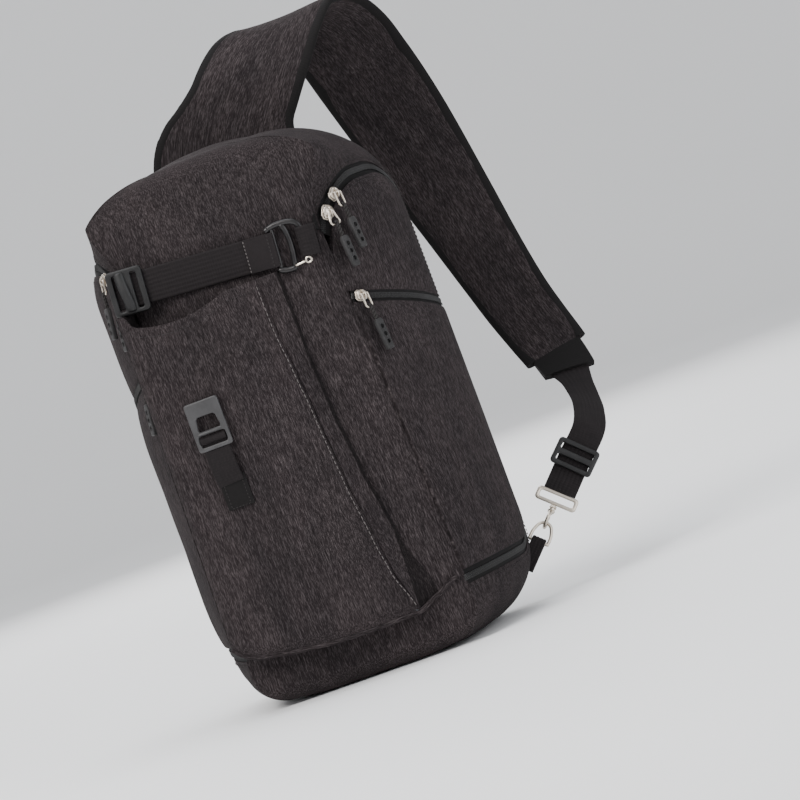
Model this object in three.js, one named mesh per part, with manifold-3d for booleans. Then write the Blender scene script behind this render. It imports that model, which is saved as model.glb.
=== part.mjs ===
// A sling camera bag: a padded body with a zipped door on each side, an open bellows pocket and a cross strap
// on the front, and one padded shoulder strap from the top of the back to a ring at the lower right corner.
// Millimetres, +Z up. The origin is the middle of the flat base. The front faces -Y, the wearer is at +Y.
import * as THREE from "three";
import { mergeVertices } from "three/addons/utils/BufferGeometryUtils.js";
import Module from "manifold-3d";

// Body
const bagHeight = 400;
const bagWidth = 244;
const bodyDepth = 140;
const wall = 8; // padded wall: cloth, foam and lining sewn together
const sewGap = 0.3; // between pieces that are sewn or rest face to face
const wideFromBack = 32; // the widest section stands this far in front of the back
const backCornerInset = 14;
const topCorner = 80;
const bottomCorner = 52;
const seamHalfTop = 77; // half the width between the two front seams
const seamHalfBottom = 90;
const seamCorner = 28;
const seamFlare = 16; // how far the front seams spread near the top
const seamFlareFrom = 325;
const seamInside = 4; // a front seam stays this far inside the widest section
const edgeRound = 12;
const topLean = 14; // how far the front face leans back at the top
const frontCrown = 8;
const sideBulge = 1.7; // 1 is a flat side, higher values are rounder
const backRim = 22; // depth of the rim that the back panel carries
const frontRim = 34; // how far the front panel runs on over the top and the base

// Side doors
const doorBottom = 45;
const doorTopFront = 308;
const doorTopBack = 350;
const doorCorner = 25;
const doorTopCorner = 38; // the arch of the main zip turns down at the back with this radius
const archY = -12; // and from here it falls to the front seam
const archLength = 45;
const zipGap = 3; // between a door and its frame
const tapeWidth = 6;
const tapeThickness = 1.2;
const pocketMargin = 8; // door pocket to door edge
const pocketZipFront = 262;
const pocketZipBack = 232;
const pocketBulge = 4;
const pocketTape = 10;

// Front pocket
const mouthHeight = 300;
const mouthLeft = 76;
const mouthRight = 24;
const footRight = 58;
const footHeightLeft = 40;
const footHeightRight = 28;
const mouthStandOff = 30;
const footStandOff = 22;
const clothThickness = 3;
const gussetThickness = 2.5;
const gussetLean = 7;

// Front strap and its hook
const webbingWidth = 25.4;
const webbingThickness = 1.8;
const strapHeightLeft = 326;
const strapHeightRight = 314;
const strapClear = 4; // strap to the front face
const adjusterLength = 34;
const adjusterThickness = 5;
const barWidth = 3.2;
const hookLength = 25;
const hookThickness = 3;
const railWidth = 3.6;
const hookMouth = 6;
const anchorLength = 22;

// Gear keeper on the pocket
const keeperWidth = 27;
const keeperLength = 32;
const keeperThickness = 3;
const keeperX = -45;
const keeperZ = 212;
const keeperWebbing = 20;
const keeperTabLength = 56;

// Zip sliders and pulls
const sliderRadius = 5;
const sliderHeight = 3.6;
const bridgeRadius = 3;
const bridgeWire = 0.9;
const tabLength = 11;
const tabWidth = 8;
const tabThickness = 1.2;
const cordThickness = 1.6;
const cordLength = 14;
const gripLength = 24;
const gripWidth = 7.5;
const gripThickness = 3.2;
const gripHole = 1.7;
const pullClear = 1.1; // pull to the slider's dome

// Shoulder strap
const yokeWidthBase = 126;
const strapWidth = 84;
const strapThickness = 9;
const lowerWebbing = 38;
const yokeEnd = 0.36; // shares of the strap's path
const padEnd = 0.76;
const ringRadius = 8;
const ringWire = 1.3;
const ringBar = 15; // straight side of the D ring, which the tab holds
const ringOutside = 8; // bar to the bag's widest line
const snapRadius = 6.5;
const snapWire = 1.4;
const gateWire = 0.9;
const snapGap = 60; // degrees of the snap hook that the gate closes

// Inside
const dividerLow = 150;
const dividerHigh = 248;
const dividerThickness = 8;
const boardThickness = 2;
const padThickness = 9;
const padGap = 26;
const padInset = 26;

const yBack = bodyDepth / 2;
const yWide = yBack - wideFromBack;
const far = 2 * bagHeight; // past every edge of the bag, for cutting forms
const wasm = await Module();
wasm.setup();

const cloth = new THREE.MeshStandardMaterial({ color: 0x3a3636, roughness: 0.95 });
const lining = new THREE.MeshStandardMaterial({ color: 0x55585c, roughness: 0.95 });
const mesh = new THREE.MeshStandardMaterial({ color: 0x1d1d1f, roughness: 0.9 });
const webbing = new THREE.MeshStandardMaterial({ color: 0x1b1819, roughness: 0.85 });
const plastic = new THREE.MeshStandardMaterial({ color: 0x232326, roughness: 0.5 });
const rubber = new THREE.MeshStandardMaterial({ color: 0x2b2b2d, roughness: 0.6 });
const nickel = new THREE.MeshStandardMaterial({ color: 0xbcae9c, roughness: 0.25, metalness: 1 });
const gunmetal = new THREE.MeshStandardMaterial({ color: 0x3c3c3f, roughness: 0.4, metalness: 1 });
const zipCoil = new THREE.MeshStandardMaterial({ color: 0x141414, roughness: 0.6 });

// ---- solids ----

function solidOf(geometry) {
  const plain = geometry.index ? geometry.toNonIndexed() : geometry.clone();
  plain.deleteAttribute("normal");
  plain.deleteAttribute("uv");
  const merged = mergeVertices(plain, 1e-3);
  const made = { numProp: 3, vertProperties: merged.attributes.position.array, triVerts: merged.index.array };
  made.triVerts = new Uint32Array(made.triVerts);
  return new wasm.Manifold(new wasm.Mesh(made));
}

function geometryOf(solid) {
  const made = solid.getMesh();
  const geometry = new THREE.BufferGeometry();
  geometry.setAttribute("position", new THREE.BufferAttribute(new Float32Array(made.vertProperties), 3));
  geometry.setIndex(new THREE.BufferAttribute(made.triVerts, 1));
  geometry.computeVertexNormals();
  return geometry;
}

const join = (first, ...others) => geometryOf(others.reduce((a, b) => a.add(solidOf(b)), solidOf(first)));
const cut = (first, ...others) => geometryOf(others.reduce((a, b) => a.subtract(solidOf(b)), solidOf(first)));
const common = (first, ...others) => geometryOf(others.reduce((a, b) => a.intersect(solidOf(b)), solidOf(first)));

function block(x0, x1, y0, y1, z0, z1) {
  const geometry = new THREE.BoxGeometry(x1 - x0, y1 - y0, z1 - z0);
  return geometry.translate((x0 + x1) / 2, (y0 + y1) / 2, (z0 + z1) / 2);
}

// A shape drawn in X and Z, extruded from y0 to y1.
function prismY(shape, y0, y1, curveSegments = 6) {
  const geometry = new THREE.ExtrudeGeometry(shape, { depth: y1 - y0, bevelEnabled: false, curveSegments });
  return geometry.rotateX(Math.PI / 2).translate(0, y1, 0);
}

// A shape drawn in Y and Z, extruded from x0 to x1.
function prismX(shape, x0, x1, curveSegments = 5) {
  const geometry = new THREE.ExtrudeGeometry(shape, { depth: x1 - x0, bevelEnabled: false, curveSegments });
  const axes = new THREE.Matrix4().makeBasis(
    new THREE.Vector3(0, 1, 0),
    new THREE.Vector3(0, 0, 1),
    new THREE.Vector3(1, 0, 0),
  );
  return geometry.applyMatrix4(axes).translate(x0, 0, 0);
}

function roundedRect(width, height, radius, Type = THREE.Shape) {
  const shape = new Type();
  const [w, h] = [width / 2, height / 2];
  shape.moveTo(-w + radius, -h);
  shape.lineTo(w - radius, -h);
  shape.absarc(w - radius, -h + radius, radius, -Math.PI / 2, 0);
  shape.lineTo(w, h - radius);
  shape.absarc(w - radius, h - radius, radius, 0, Math.PI / 2);
  shape.lineTo(-w + radius, h);
  shape.absarc(-w + radius, h - radius, radius, Math.PI / 2, Math.PI);
  shape.lineTo(-w, -h + radius);
  shape.absarc(-w + radius, -h + radius, radius, Math.PI, Math.PI * 1.5);
  return shape;
}

const moved = (path, x, y, Type = THREE.Path) =>
  new Type(path.getPoints(3).map((p) => new THREE.Vector2(p.x + x, p.y + y)));

// Turns a closed mesh's faces outward, whichever way its formula ran.
function facingOut(geometry) {
  const [place, index] = [geometry.attributes.position, geometry.index];
  const corner = (i) => new THREE.Vector3().fromBufferAttribute(place, index.getX(i));
  let volume = 0;
  for (let i = 0; i < index.count; i += 3) volume += corner(i).dot(corner(i + 1).cross(corner(i + 2)));
  if (volume < 0) index.array.reverse();
  return geometry;
}

// A sheet with thickness: at(u, v, face) gives a point, with face 1 on one side and 0 on the other.
function sheet(across, along, at) {
  const geometry = new THREE.BoxGeometry(1, 1, 1, across, along, 1);
  const place = geometry.attributes.position;
  for (let i = 0; i < place.count; i++) {
    const p = at(place.getX(i) + 0.5, place.getY(i) + 0.5, place.getZ(i) + 0.5);
    place.setXYZ(i, ...p);
  }
  return facingOut(geometry);
}

// A flat band along a curve. width(t) and the side direction side(t) may change along it.
function band(curve, from, to, steps, width, thickness, side, across = 1) {
  const geometry = new THREE.BoxGeometry(1, 1, 1, across, 1, steps);
  const place = geometry.attributes.position;
  for (let i = 0; i < place.count; i++) {
    const t = from + (to - from) * (place.getZ(i) + 0.5);
    const tangent = curve.getTangentAt(t);
    const wide = side(t).projectOnPlane(tangent).normalize();
    const up = new THREE.Vector3().crossVectors(tangent, wide);
    const p = curve.getPointAt(t);
    p.addScaledVector(wide, place.getX(i) * width(t)).addScaledVector(up, place.getY(i) * thickness);
    place.setXYZ(i, p.x, p.y, p.z);
  }
  return facingOut(geometry);
}

// A round wire along a curve, with closed ends.
function wire(curve, radius, steps, sides = 8) {
  const ring = new THREE.Shape(
    Array.from({ length: sides }, (_, i) => {
      const turn = (i / sides) * Math.PI * 2;
      return new THREE.Vector2(radius * Math.cos(turn), radius * Math.sin(turn));
    }),
  );
  return new THREE.ExtrudeGeometry(ring, { steps, extrudePath: curve, bevelEnabled: false });
}

// ---- the form of the body ----

const cornerInset = (d, radius) => (d >= radius ? 0 : radius - Math.sqrt(radius ** 2 - (radius - d) ** 2));
const ease = (t) => t * t * (3 - 2 * t);
const share = (z, low, high) => ease(THREE.MathUtils.clamp((z - low) / (high - low), 0, 1));
const endInset = (z, inset, top, bottom) =>
  Math.max(cornerInset(bagHeight - inset - z, top - inset), cornerInset(z - inset, bottom - inset));

// The seam's half width, the widest half width, and the front and back planes of a level section.
function section(z, inset = 0) {
  const taper = THREE.MathUtils.lerp(seamHalfBottom, seamHalfTop, Math.min(z / doorTopFront, 1.05));
  const spread = seamFlare * share(z, seamFlareFrom, seamFlareFrom + 60);
  const seam = taper + spread - inset - endInset(z, inset, seamCorner + inset, seamCorner + inset);
  const wide = bagWidth / 2 - inset - endInset(z, inset, topCorner, bottomCorner);
  const round = cornerInset(Math.min(z - inset, bagHeight - inset - z), edgeRound);
  return {
    seam: Math.min(seam, wide - seamInside),
    wide,
    front: -bodyDepth / 2 + (topLean * z) / bagHeight + inset + round,
    back: yBack - inset - round,
  };
}

const crown = (x, z, seam) => {
  const t = THREE.MathUtils.clamp(z / bagHeight, 0, 1);
  return frontCrown * 4 * t * (1 - t) * (1 - (x / seam) ** 2);
};

// Y of the front face's outer surface.
function frontY(x, z) {
  const s = section(z);
  return s.front - crown(x, z, s.seam);
}

const frontSteps = 3;
const sideSteps = 5;
const cornerSteps = 2;
const backSteps = 2;
const halfSteps = frontSteps + sideSteps + cornerSteps + backSteps;

// Half a level section, from the middle of the front round the right side to the middle of the back.
function halfSection(z, inset) {
  const s = section(z, inset);
  const wideY = Math.min(yWide, s.back - 1);
  const corner = s.wide - backCornerInset;
  const points = [];
  for (let i = 0; i < frontSteps; i++) {
    const x = (s.seam * i) / frontSteps;
    points.push([x, s.front - crown(x, z, s.seam)]);
  }
  for (let i = 0; i < sideSteps; i++) {
    const t = i / sideSteps;
    points.push([s.seam + (s.wide - s.seam) * (1 - (1 - t) ** sideBulge), s.front + (wideY - s.front) * t]);
  }
  for (let i = 0; i < cornerSteps; i++) {
    const turn = (i / cornerSteps) * (Math.PI / 2);
    points.push([corner + backCornerInset * Math.cos(turn), wideY + (s.back - wideY) * Math.sin(turn)]);
  }
  for (let i = 0; i <= backSteps; i++) points.push([corner * (1 - i / backSteps), s.back]);
  return points;
}

// The whole body as one solid, shrunk by inset on every side, or grown where inset is negative.
function bodyForm(inset, levels = Math.round(bagHeight / 20)) {
  const geometry = new THREE.CylinderGeometry(1, 1, 1, halfSteps * 2, levels);
  const place = geometry.attributes.position;
  for (let i = 0; i < place.count; i++) {
    const [x, height, z] = [place.getX(i), place.getY(i) + 0.5, place.getZ(i)];
    const level = inset + (bagHeight - 2 * inset) * (0.5 - 0.5 * Math.cos(Math.PI * height));
    const turns = Math.atan2(x, z) / (2 * Math.PI);
    const step = Math.round((turns < 0 ? turns + 1 : turns) * halfSteps * 2) % (halfSteps * 2);
    const half = halfSection(level, inset);
    const right = step <= halfSteps;
    const point = Math.hypot(x, z) < 0.5 ? [0, 0] : half[right ? step : 2 * halfSteps - step];
    place.setXYZ(i, right ? point[0] : -point[0], point[1], level);
  }
  return geometry;
}

const outer = bodyForm(0);
const shell = cut(outer, bodyForm(wall));
const skin = cut(bodyForm(-sewGap - tapeThickness), bodyForm(-sewGap)); // a thin layer just outside the body

// The front face's outline, between the two front seams.
function seamOutline(grow) {
  const levels = Math.round(bagHeight / 33);
  const right = Array.from({ length: levels + 1 }, (_, i) => {
    const z = bagHeight * (0.5 - 0.5 * Math.cos((Math.PI * i) / levels));
    return new THREE.Vector2(section(z).seam + grow, z);
  });
  right[0].y = -grow - wall;
  right[levels].y = bagHeight + grow + wall;
  return new THREE.Shape([...right, ...right.map((p) => new THREE.Vector2(-p.x, p.y)).reverse()]);
}

// A door's outline in Y and Z, grown by grow. It runs past the front seam, where the door is hinged.
function doorOutline(grow, topDrop = 0) {
  const yEnd = yBack - backRim - zipGap + grow;
  const [low, high] = [doorBottom - grow, doorTopBack + grow - topDrop];
  const r = doorCorner + grow;
  const topRadius = doorTopCorner + grow;
  const shape = new THREE.Shape();
  shape.moveTo(-far, low);
  shape.lineTo(yEnd - r, low);
  shape.absarc(yEnd - r, low + r, r, -Math.PI / 2, 0);
  shape.lineTo(yEnd, high - topRadius);
  shape.absarc(yEnd - topRadius, high - topRadius, topRadius, 0, Math.PI / 2);
  shape.absellipse(archY, doorTopFront, archLength + grow, high - doorTopFront, Math.PI / 2, Math.PI);
  shape.lineTo(-far, doorTopFront);
  return shape;
}

// ---- scene graph ----

const bag = new THREE.Group();

function add(name, geometry, material, parent = bag) {
  const made = new THREE.Mesh(geometry, material);
  made.name = name;
  parent.add(made);
  return made;
}

function group(x, y, z, parent = bag) {
  const made = new THREE.Group();
  made.position.set(x, y, z);
  parent.add(made);
  return made;
}

// Padded shell: front panel, back panel, and the gussets above and below the doors
const yFrontRim = -bodyDepth / 2 + frontRim;
const frontCut = prismY(seamOutline(0), -far, yFrontRim);
const ySplit = yBack - backRim;
const ring = cut(shell, prismY(seamOutline(sewGap), -far, yFrontRim + sewGap), block(-far, far, ySplit, far, -far, far));
const doorWindow = prismX(doorOutline(zipGap), 10, far);
const bothWindows = join(doorWindow, prismX(doorOutline(zipGap), -far, -10));
const middle = (doorBottom + doorTopBack) / 2;
const above = block(-far, far, -far, far, middle, far * 2);
const below = block(-far, far, -far, far, -far, middle);
add("front_panel", common(shell, frontCut), cloth);
add("back_panel", common(shell, block(-far, far, ySplit + sewGap, far, -far, far * 2)), mesh);
add("top_gusset", common(cut(ring, bothWindows), above), cloth);
add("bottom_gusset", common(cut(ring, bothWindows), below), cloth);

// Boards and dividers inside
const linerInset = wall + sewGap;
const liner = bodyForm(linerInset);
const yBoard = yBack - linerInset - boardThickness;
const dividerForm = bodyForm(wall + 1.5);
const divider = (z) => common(dividerForm, block(-far, far, -far, yBoard - sewGap, z, z + dividerThickness));
const zBoard = linerInset + boardThickness;
const onBoard = block(-far, far, yBoard, far, zBoard + sewGap, far * 2);
add("back_stiffener", common(liner, onBoard), plastic);
add("base_board", common(liner, block(-far, far, -far, far, -far, zBoard)), plastic);
add("divider_lower", divider(dividerLow), lining);
add("divider_upper", divider(dividerHigh), lining);

// Mesh pads on the back, either side of an air channel
const padTop = bagHeight - 48;
const padHalf = bagWidth / 2 - backCornerInset - padInset / 2;
const padShape = roundedRect(padHalf - padGap / 2, padTop - padInset - 10, 18);
for (const [name, sign] of [["back_pad_right", 1], ["back_pad_left", -1]]) {
  const pad = prismY(padShape, yBack + sewGap, yBack + sewGap + padThickness, 4);
  pad.translate(sign * (padHalf + padGap / 2) * 0.5, 0, (padTop + padInset + 10) / 2);
  add(name, pad, mesh);
}

// ---- side doors ----

const doorPanel = common(ring, prismX(doorOutline(0), 10, far));
const inHalf = block(10, far, -far, far, -far, far * 2);
const behindSeam = prismY(seamOutline(sewGap), -far, 0);
const onDoor = (outline) => prismX(outline, 10, far);
const doorTape = cut(common(skin, onDoor(doorOutline(-zipGap / 2))), onDoor(doorOutline(-tapeWidth)), behindSeam);
const onSide = (sign, grow) => prismX(doorOutline(grow), sign > 0 ? 10 : -far, sign > 0 ? far : -10);
const frameTape = (sign) => cut(
  common(skin, onSide(sign, zipGap + tapeWidth)),
  onSide(sign, zipGap * 1.5),
  behindSeam,
);

// The pocket's zip runs from zFront at the seam to zBack at the widest section; drop lowers the line.
function pocketOutline(low, drop) {
  const slope = (pocketZipBack - pocketZipFront) / (yWide + bodyDepth / 2);
  const top = (y) => pocketZipFront + slope * (y + bodyDepth / 2) - drop;
  const yEnd = yBack - backRim - zipGap - pocketMargin;
  const r = doorCorner - pocketMargin;
  const shape = new THREE.Shape();
  shape.moveTo(-far, low);
  shape.lineTo(yEnd - r, low);
  shape.absarc(yEnd - r, low + r, r, -Math.PI / 2, 0);
  shape.lineTo(yEnd, top(yEnd));
  shape.lineTo(-far, top(-far));
  return shape;
}

const pocketLayer = cut(bodyForm(-sewGap - pocketBulge), bodyForm(-sewGap));
const pocketSeam = prismY(seamOutline(pocketMargin / 2), -far, 0);
const pocketLow = doorBottom + pocketMargin;
const sidePocket = cut(common(pocketLayer, onDoor(pocketOutline(pocketLow, 0))), pocketSeam);
const zipStrip = cut(pocketOutlineBand(), pocketSeam);

function pocketOutlineBand() {
  const strip = common(skin, onDoor(pocketOutline(pocketLow, -pocketTape - sewGap)));
  return cut(strip, onDoor(pocketOutline(pocketLow - far, -sewGap)));
}

for (const [side, sign] of [["right", 1], ["left", -1]]) {
  const half = group(0, 0, 0);
  half.scale.x = sign;
  add("door_panel_" + side, common(doorPanel, inHalf), cloth, half);
  add("door_zip_tape_" + side, doorTape, zipCoil, half);
  add("frame_zip_tape_" + side, frameTape(sign), zipCoil);
  add("door_pocket_" + side, sidePocket, cloth, half);
  add("pocket_zip_tape_" + side, zipStrip, zipCoil, half);
}

// ---- zip sliders and their pulls ----

// X of the body's right side at a place (y, z), and the outward normal there.
function sideX(y, z) {
  const s = section(z);
  const t = THREE.MathUtils.clamp((y - s.front) / (yWide - s.front), 0, 1);
  return s.seam + (s.wide - s.seam) * (1 - (1 - t) ** sideBulge);
}

function sideNormal(y, z, reach = 6) {
  const along = new THREE.Vector3(sideX(y + reach, z) - sideX(y - reach, z), 2 * reach, 0);
  return new THREE.Vector3().crossVectors(along, new THREE.Vector3(0, 0, 1)).normalize();
}

// A slider stands on its own XY plane, long along the zip. The bridge over it holds the pull.
const bridgeHeight = sliderHeight + pullClear + tabThickness / 2 - bridgeRadius / 2;
const domeShape = [new THREE.Vector2(0, 0)];
for (let i = 0; i <= 4; i++) {
  const turn = (i / 4) * (Math.PI / 2);
  domeShape.push(new THREE.Vector2(sliderRadius * Math.cos(turn), sliderHeight * (0.35 + 0.65 * Math.sin(turn))));
}
domeShape[domeShape.length - 1].x = 0;
const dome = new THREE.LatheGeometry(domeShape, 14).rotateX(Math.PI / 2).scale(1.25, 0.85, 1);
const bridgeCurve = new THREE.CatmullRomCurve3(
  [[-1, -0.9], [-1, 0.2], [-0.7, 0.85], [0, 1.1], [0.7, 0.85], [1, 0.2], [1, -0.9]].map(
    ([y, z]) => new THREE.Vector3(0, y * bridgeRadius, bridgeHeight + z * bridgeRadius),
  ),
);
const sliderShape = (lean) => join(dome.clone().rotateZ(lean), wire(bridgeCurve, bridgeWire, 12, 6));

// The pull turns about X through its pivot and hangs along -Y. The tab is a flat metal loop.
const tabOutline = moved(roundedRect(tabWidth, tabLength, 1.2), 0, -tabLength / 2 + barWidth / 4, THREE.Shape);
tabOutline.holes.push(moved(roundedRect(tabWidth - 3, tabLength - 3, 0.8), 0, -tabLength / 2 + barWidth / 4));
const flat = (shape, thickness, curveSegments = 3) =>
  new THREE.ExtrudeGeometry(shape, { depth: thickness, bevelEnabled: false, curveSegments }).translate(
    0,
    0,
    -thickness / 2,
  );
const tabShape = flat(tabOutline, tabThickness);
const cordTop = -tabLength + barWidth / 4 + 1.5;
const hairpin = moved(roundedRect(4.4, cordLength, 2.1), 0, cordTop - cordLength / 2 + 3.4, THREE.Shape);
hairpin.holes.push(moved(roundedRect(1.6, cordLength - 3, 0.7), 0, cordTop - cordLength / 2 + 3.4));
const gripTop = cordTop + 3.4 - cordLength + 2;
const gripOutline = moved(roundedRect(gripWidth, gripLength, 1.6), 0, gripTop - gripLength / 2, THREE.Shape);
for (let i = 0; i < 3; i++) {
  const hole = new THREE.Path();
  hole.absarc(0, gripTop - gripLength * (0.32 + 0.25 * i), gripHole, 0, Math.PI * 2);
  gripOutline.holes.push(hole);
}
const slot = tabThickness / 2 + 0.35; // the cord steps off the tab it is threaded through
const gripShape = join(
  flat(hairpin, cordThickness).translate(0, 0, slot + cordThickness / 2),
  flat(gripOutline, gripThickness, 4).translate(0, 0, slot + gripThickness / 2),
);

// Where each slider is parked: a place on the side, and how far it stands off the cloth.
const tapeTop = sewGap * 2 + tapeThickness + 1.0;
const archRise = doorTopBack - doorTopFront + zipGap / 2;
const archShare = (y) => Math.min(0, (y - archY) / (archLength + zipGap / 2));
const doorZipZ = (y) => doorTopFront + archRise * Math.sqrt(1 - archShare(y) ** 2);
const doorZipLean = (y) => {
  const t = archShare(y);
  return Math.atan((-t * archRise) / (archLength + zipGap / 2) / Math.sqrt(1 - t * t));
};
const pocketZipZ = (y) => {
  const slope = (pocketZipBack - pocketZipFront) / (yWide + bodyDepth / 2);
  return pocketZipFront + slope * (y + bodyDepth / 2) + pocketTape / 2 + sewGap;
};
const pocketLean = (pocketZipBack - pocketZipFront) / (yWide + bodyDepth / 2);
const sliderFront = -bodyDepth / 2 + 17;
const sliderStep = 9;
const sliders = [
  ["door_lower", sliderFront, doorZipZ(sliderFront), doorZipLean(sliderFront)],
  ["door_upper", sliderFront + sliderStep, doorZipZ(sliderFront + sliderStep), doorZipLean(sliderFront + sliderStep)],
  ["pocket", sliderFront - 2, pocketZipZ(sliderFront - 2), Math.atan(pocketLean)],
];
for (const [side, sign] of [["right", 1], ["left", -1]]) {
  const half = group(0, 0, 0);
  half.scale.x = sign;
  for (const [name, y, z, lean] of sliders) {
    const out = sideNormal(y, z);
    const seat = group(sideX(y, z) + out.x * tapeTop, y + out.y * tapeTop, z, half);
    const across = new THREE.Vector3().crossVectors(new THREE.Vector3(0, 0, 1), out);
    seat.quaternion.setFromRotationMatrix(new THREE.Matrix4().makeBasis(across, new THREE.Vector3(0, 0, 1), out));
    add("slider_" + name + "_" + side, sliderShape(lean), nickel, seat);
    const pivot = group(0, 0, bridgeHeight + bridgeRadius * 0.28, seat);
    pivot.rotation.x = -0.1;
    add("pull_tab_" + name + "_" + side, tabShape, nickel, pivot);
    add("pull_grip_" + name + "_" + side, gripShape, rubber, pivot);
  }
}

// ---- front bellows pocket ----

const heightShare = (z) => THREE.MathUtils.clamp((z - footHeightRight) / (mouthHeight - footHeightRight), 0, 1);
const standOff = (z) => THREE.MathUtils.lerp(footStandOff, mouthStandOff, heightShare(z) ** 2);
const pocketY = (x, z) => frontY(x, z) - standOff(z);
const rightEdge = (z) => THREE.MathUtils.lerp(footRight, mouthRight, heightShare(z) ** 0.8);
const leftEdge = (z) => -Math.min(mouthLeft + 2, section(z).seam - 2);
const footHeight = (x) =>
  THREE.MathUtils.mapLinear(x, -mouthLeft, footRight, footHeightLeft, footHeightRight);
const lerp = THREE.MathUtils.lerp;

add(
  "pocket_panel",
  sheet(6, 10, (u, v, face) => {
    const flatX = lerp(-mouthLeft, footRight, u);
    const z = lerp(footHeight(flatX), mouthHeight, v);
    const x = lerp(leftEdge(z), rightEdge(z), u);
    return [x, pocketY(x, z) + (1 - face) * clothThickness, z];
  }).rotateX(0),
  cloth,
);

// A gusset closes the pocket's side, from behind the panel's edge back to the front face.
function pocketGusset(edge, lean, thicknessSign) {
  return sheet(2, 10, (u, v, face) => {
    const z = lerp(footHeight(edge(footHeightLeft)) + 1, mouthHeight - 2, v);
    const inner = edge(z) - Math.sign(lean) * (gussetThickness + 1);
    const base = edge(z) + lean * heightShare(z);
    const x = lerp(base, inner, u) + thicknessSign * face * gussetThickness;
    const y = lerp(frontY(x, z) - sewGap, pocketY(x, z) + clothThickness + sewGap, u);
    return [x, y, z];
  });
}
add("pocket_gusset_right", pocketGusset(rightEdge, gussetLean, -1), cloth);
add("pocket_gusset_left", pocketGusset(leftEdge, -0.5, 1), cloth);
add(
  "pocket_floor",
  sheet(4, 2, (u, v, face) => {
    const rim = gussetThickness * 2 + 3;
    const x = lerp(leftEdge(footHeightLeft) + rim, rightEdge(footHeightRight) - rim - 1, u);
    const z = footHeight(x) + 2 + face * gussetThickness;
    return [x, lerp(pocketY(x, z) + clothThickness + sewGap, frontY(x, z) - sewGap, v), z];
  }),
  cloth,
);

// ---- front strap ----

const pivotX = -section(strapHeightLeft).seam - 4;
const strapSpan = 2 * section(strapHeightRight).seam - 2;
const strapY = frontY(0, (strapHeightLeft + strapHeightRight) / 2) - strapClear;
const strap = group(pivotX, strapY, strapHeightLeft);
strap.rotation.y = Math.atan2(strapHeightLeft - strapHeightRight, strapSpan);
const strapStart = adjusterLength - 6;
const hookStart = strapSpan - hookLength - 6;
const railSpan = webbingWidth + 2 * railWidth + 1;

function frameShape(length, span, slots) {
  const shape = roundedRect(length, span, 3);
  for (const [x, width] of slots) shape.holes.push(moved(roundedRect(width, webbingWidth + 1, 1), x, 0));
  return shape;
}

const adjusterShape = frameShape(adjusterLength, railSpan, [
  [-adjusterLength / 2 + barWidth + 3, 5],
  [adjusterLength / 2 - barWidth - 2.5, 4.5],
]);
const adjuster = prismY(adjusterShape, -adjusterThickness, 0, 4);
add("strap_adjuster", adjuster.translate(adjusterLength / 2 - 6, 0, 0), plastic, strap);
add(
  "front_strap",
  block(
    strapStart + sewGap,
    hookStart - sewGap,
    -webbingThickness - 1,
    -1,
    -webbingWidth / 2,
    webbingWidth / 2,
  ),
  webbing,
  strap,
);

// The hook: a slot for the sewn end of the strap, a middle bar, and an arm that hangs in the anchor loop.
const armGap = webbingWidth + 1;
const hookShape = frameShape(hookLength, railSpan, [
  [-hookLength / 2 + barWidth + 2, 4],
  [hookLength / 2 - barWidth - hookMouth / 2, hookMouth],
]);
const hookBody = prismY(hookShape, -hookThickness, 0, 4);
const mouthCut = block(
  hookLength / 2 - barWidth - hookMouth,
  far,
  -far,
  far,
  -far,
  -armGap / 2 + 2,
);
const hook = cut(hookBody, mouthCut).translate(hookStart + hookLength / 2, 0, 0);
add("strap_hook", hook, gunmetal, strap);
const wireX = hookStart + hookLength - barWidth - hookMouth;
const wireY = -hookThickness - webbingThickness - gateWire - sewGap * 3;
const wireCurve = new THREE.CatmullRomCurve3([
  new THREE.Vector3(wireX - 4, -hookThickness - gateWire - sewGap, -armGap / 2 - 1),
  new THREE.Vector3(wireX - 1, wireY, -armGap / 2 - 1),
  new THREE.Vector3(wireX + hookMouth, wireY, -armGap / 2 - 0.5),
  new THREE.Vector3(wireX + hookMouth + barWidth, wireY, -armGap / 2),
]);
add("hook_wire", wire(wireCurve, gateWire, 10, 6), nickel, strap);

// Anchor loop for the hook: one webbing round the arm, sewn in the right front seam
const anchorHeight = webbingWidth - 2;
const armX = hookStart + hookLength - barWidth / 2;
const anchorReach = barWidth / 2 + 1 + webbingThickness;
const loopOutline = (grow) => {
  const shape = new THREE.Shape();
  const r = anchorReach - webbingThickness + grow;
  const [y0, y1] = [-hookThickness - 1 - grow, 1 + grow];
  shape.moveTo(armX, y0);
  shape.lineTo(armX + anchorLength - 8, y0 + 2);
  shape.lineTo(armX + anchorLength - 8, y1 + 1);
  shape.lineTo(armX, y1);
  shape.absellipse(armX, (y0 + y1) / 2, r, (y1 - y0) / 2, Math.PI / 2, Math.PI * 1.5);
  return shape;
};
function level(shape, z0, z1) {
  return new THREE.ExtrudeGeometry(shape, { depth: z1 - z0, bevelEnabled: false, curveSegments: 6 }).translate(
    0,
    0,
    z0,
  );
}
const anchorLoop = cut(
  level(loopOutline(webbingThickness - 1), -anchorHeight / 2, anchorHeight / 2),
  level(loopOutline(-0.2), -far, far),
);
add("hook_anchor", anchorLoop, webbing, strap);

// Tab that holds the adjuster, sewn flat on the front face under it
add(
  "adjuster_tab",
  sheet(3, 1, (u, v, face) => {
    const x = pivotX + lerp(6, adjusterLength * 0.75, u);
    const z = strapHeightLeft + lerp(-webbingWidth / 2, webbingWidth / 2, v);
    return [x, frontY(x, z) - sewGap * 2 - face * webbingThickness, z];
  }),
  webbing,
);

// ---- gear keeper ----

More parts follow.
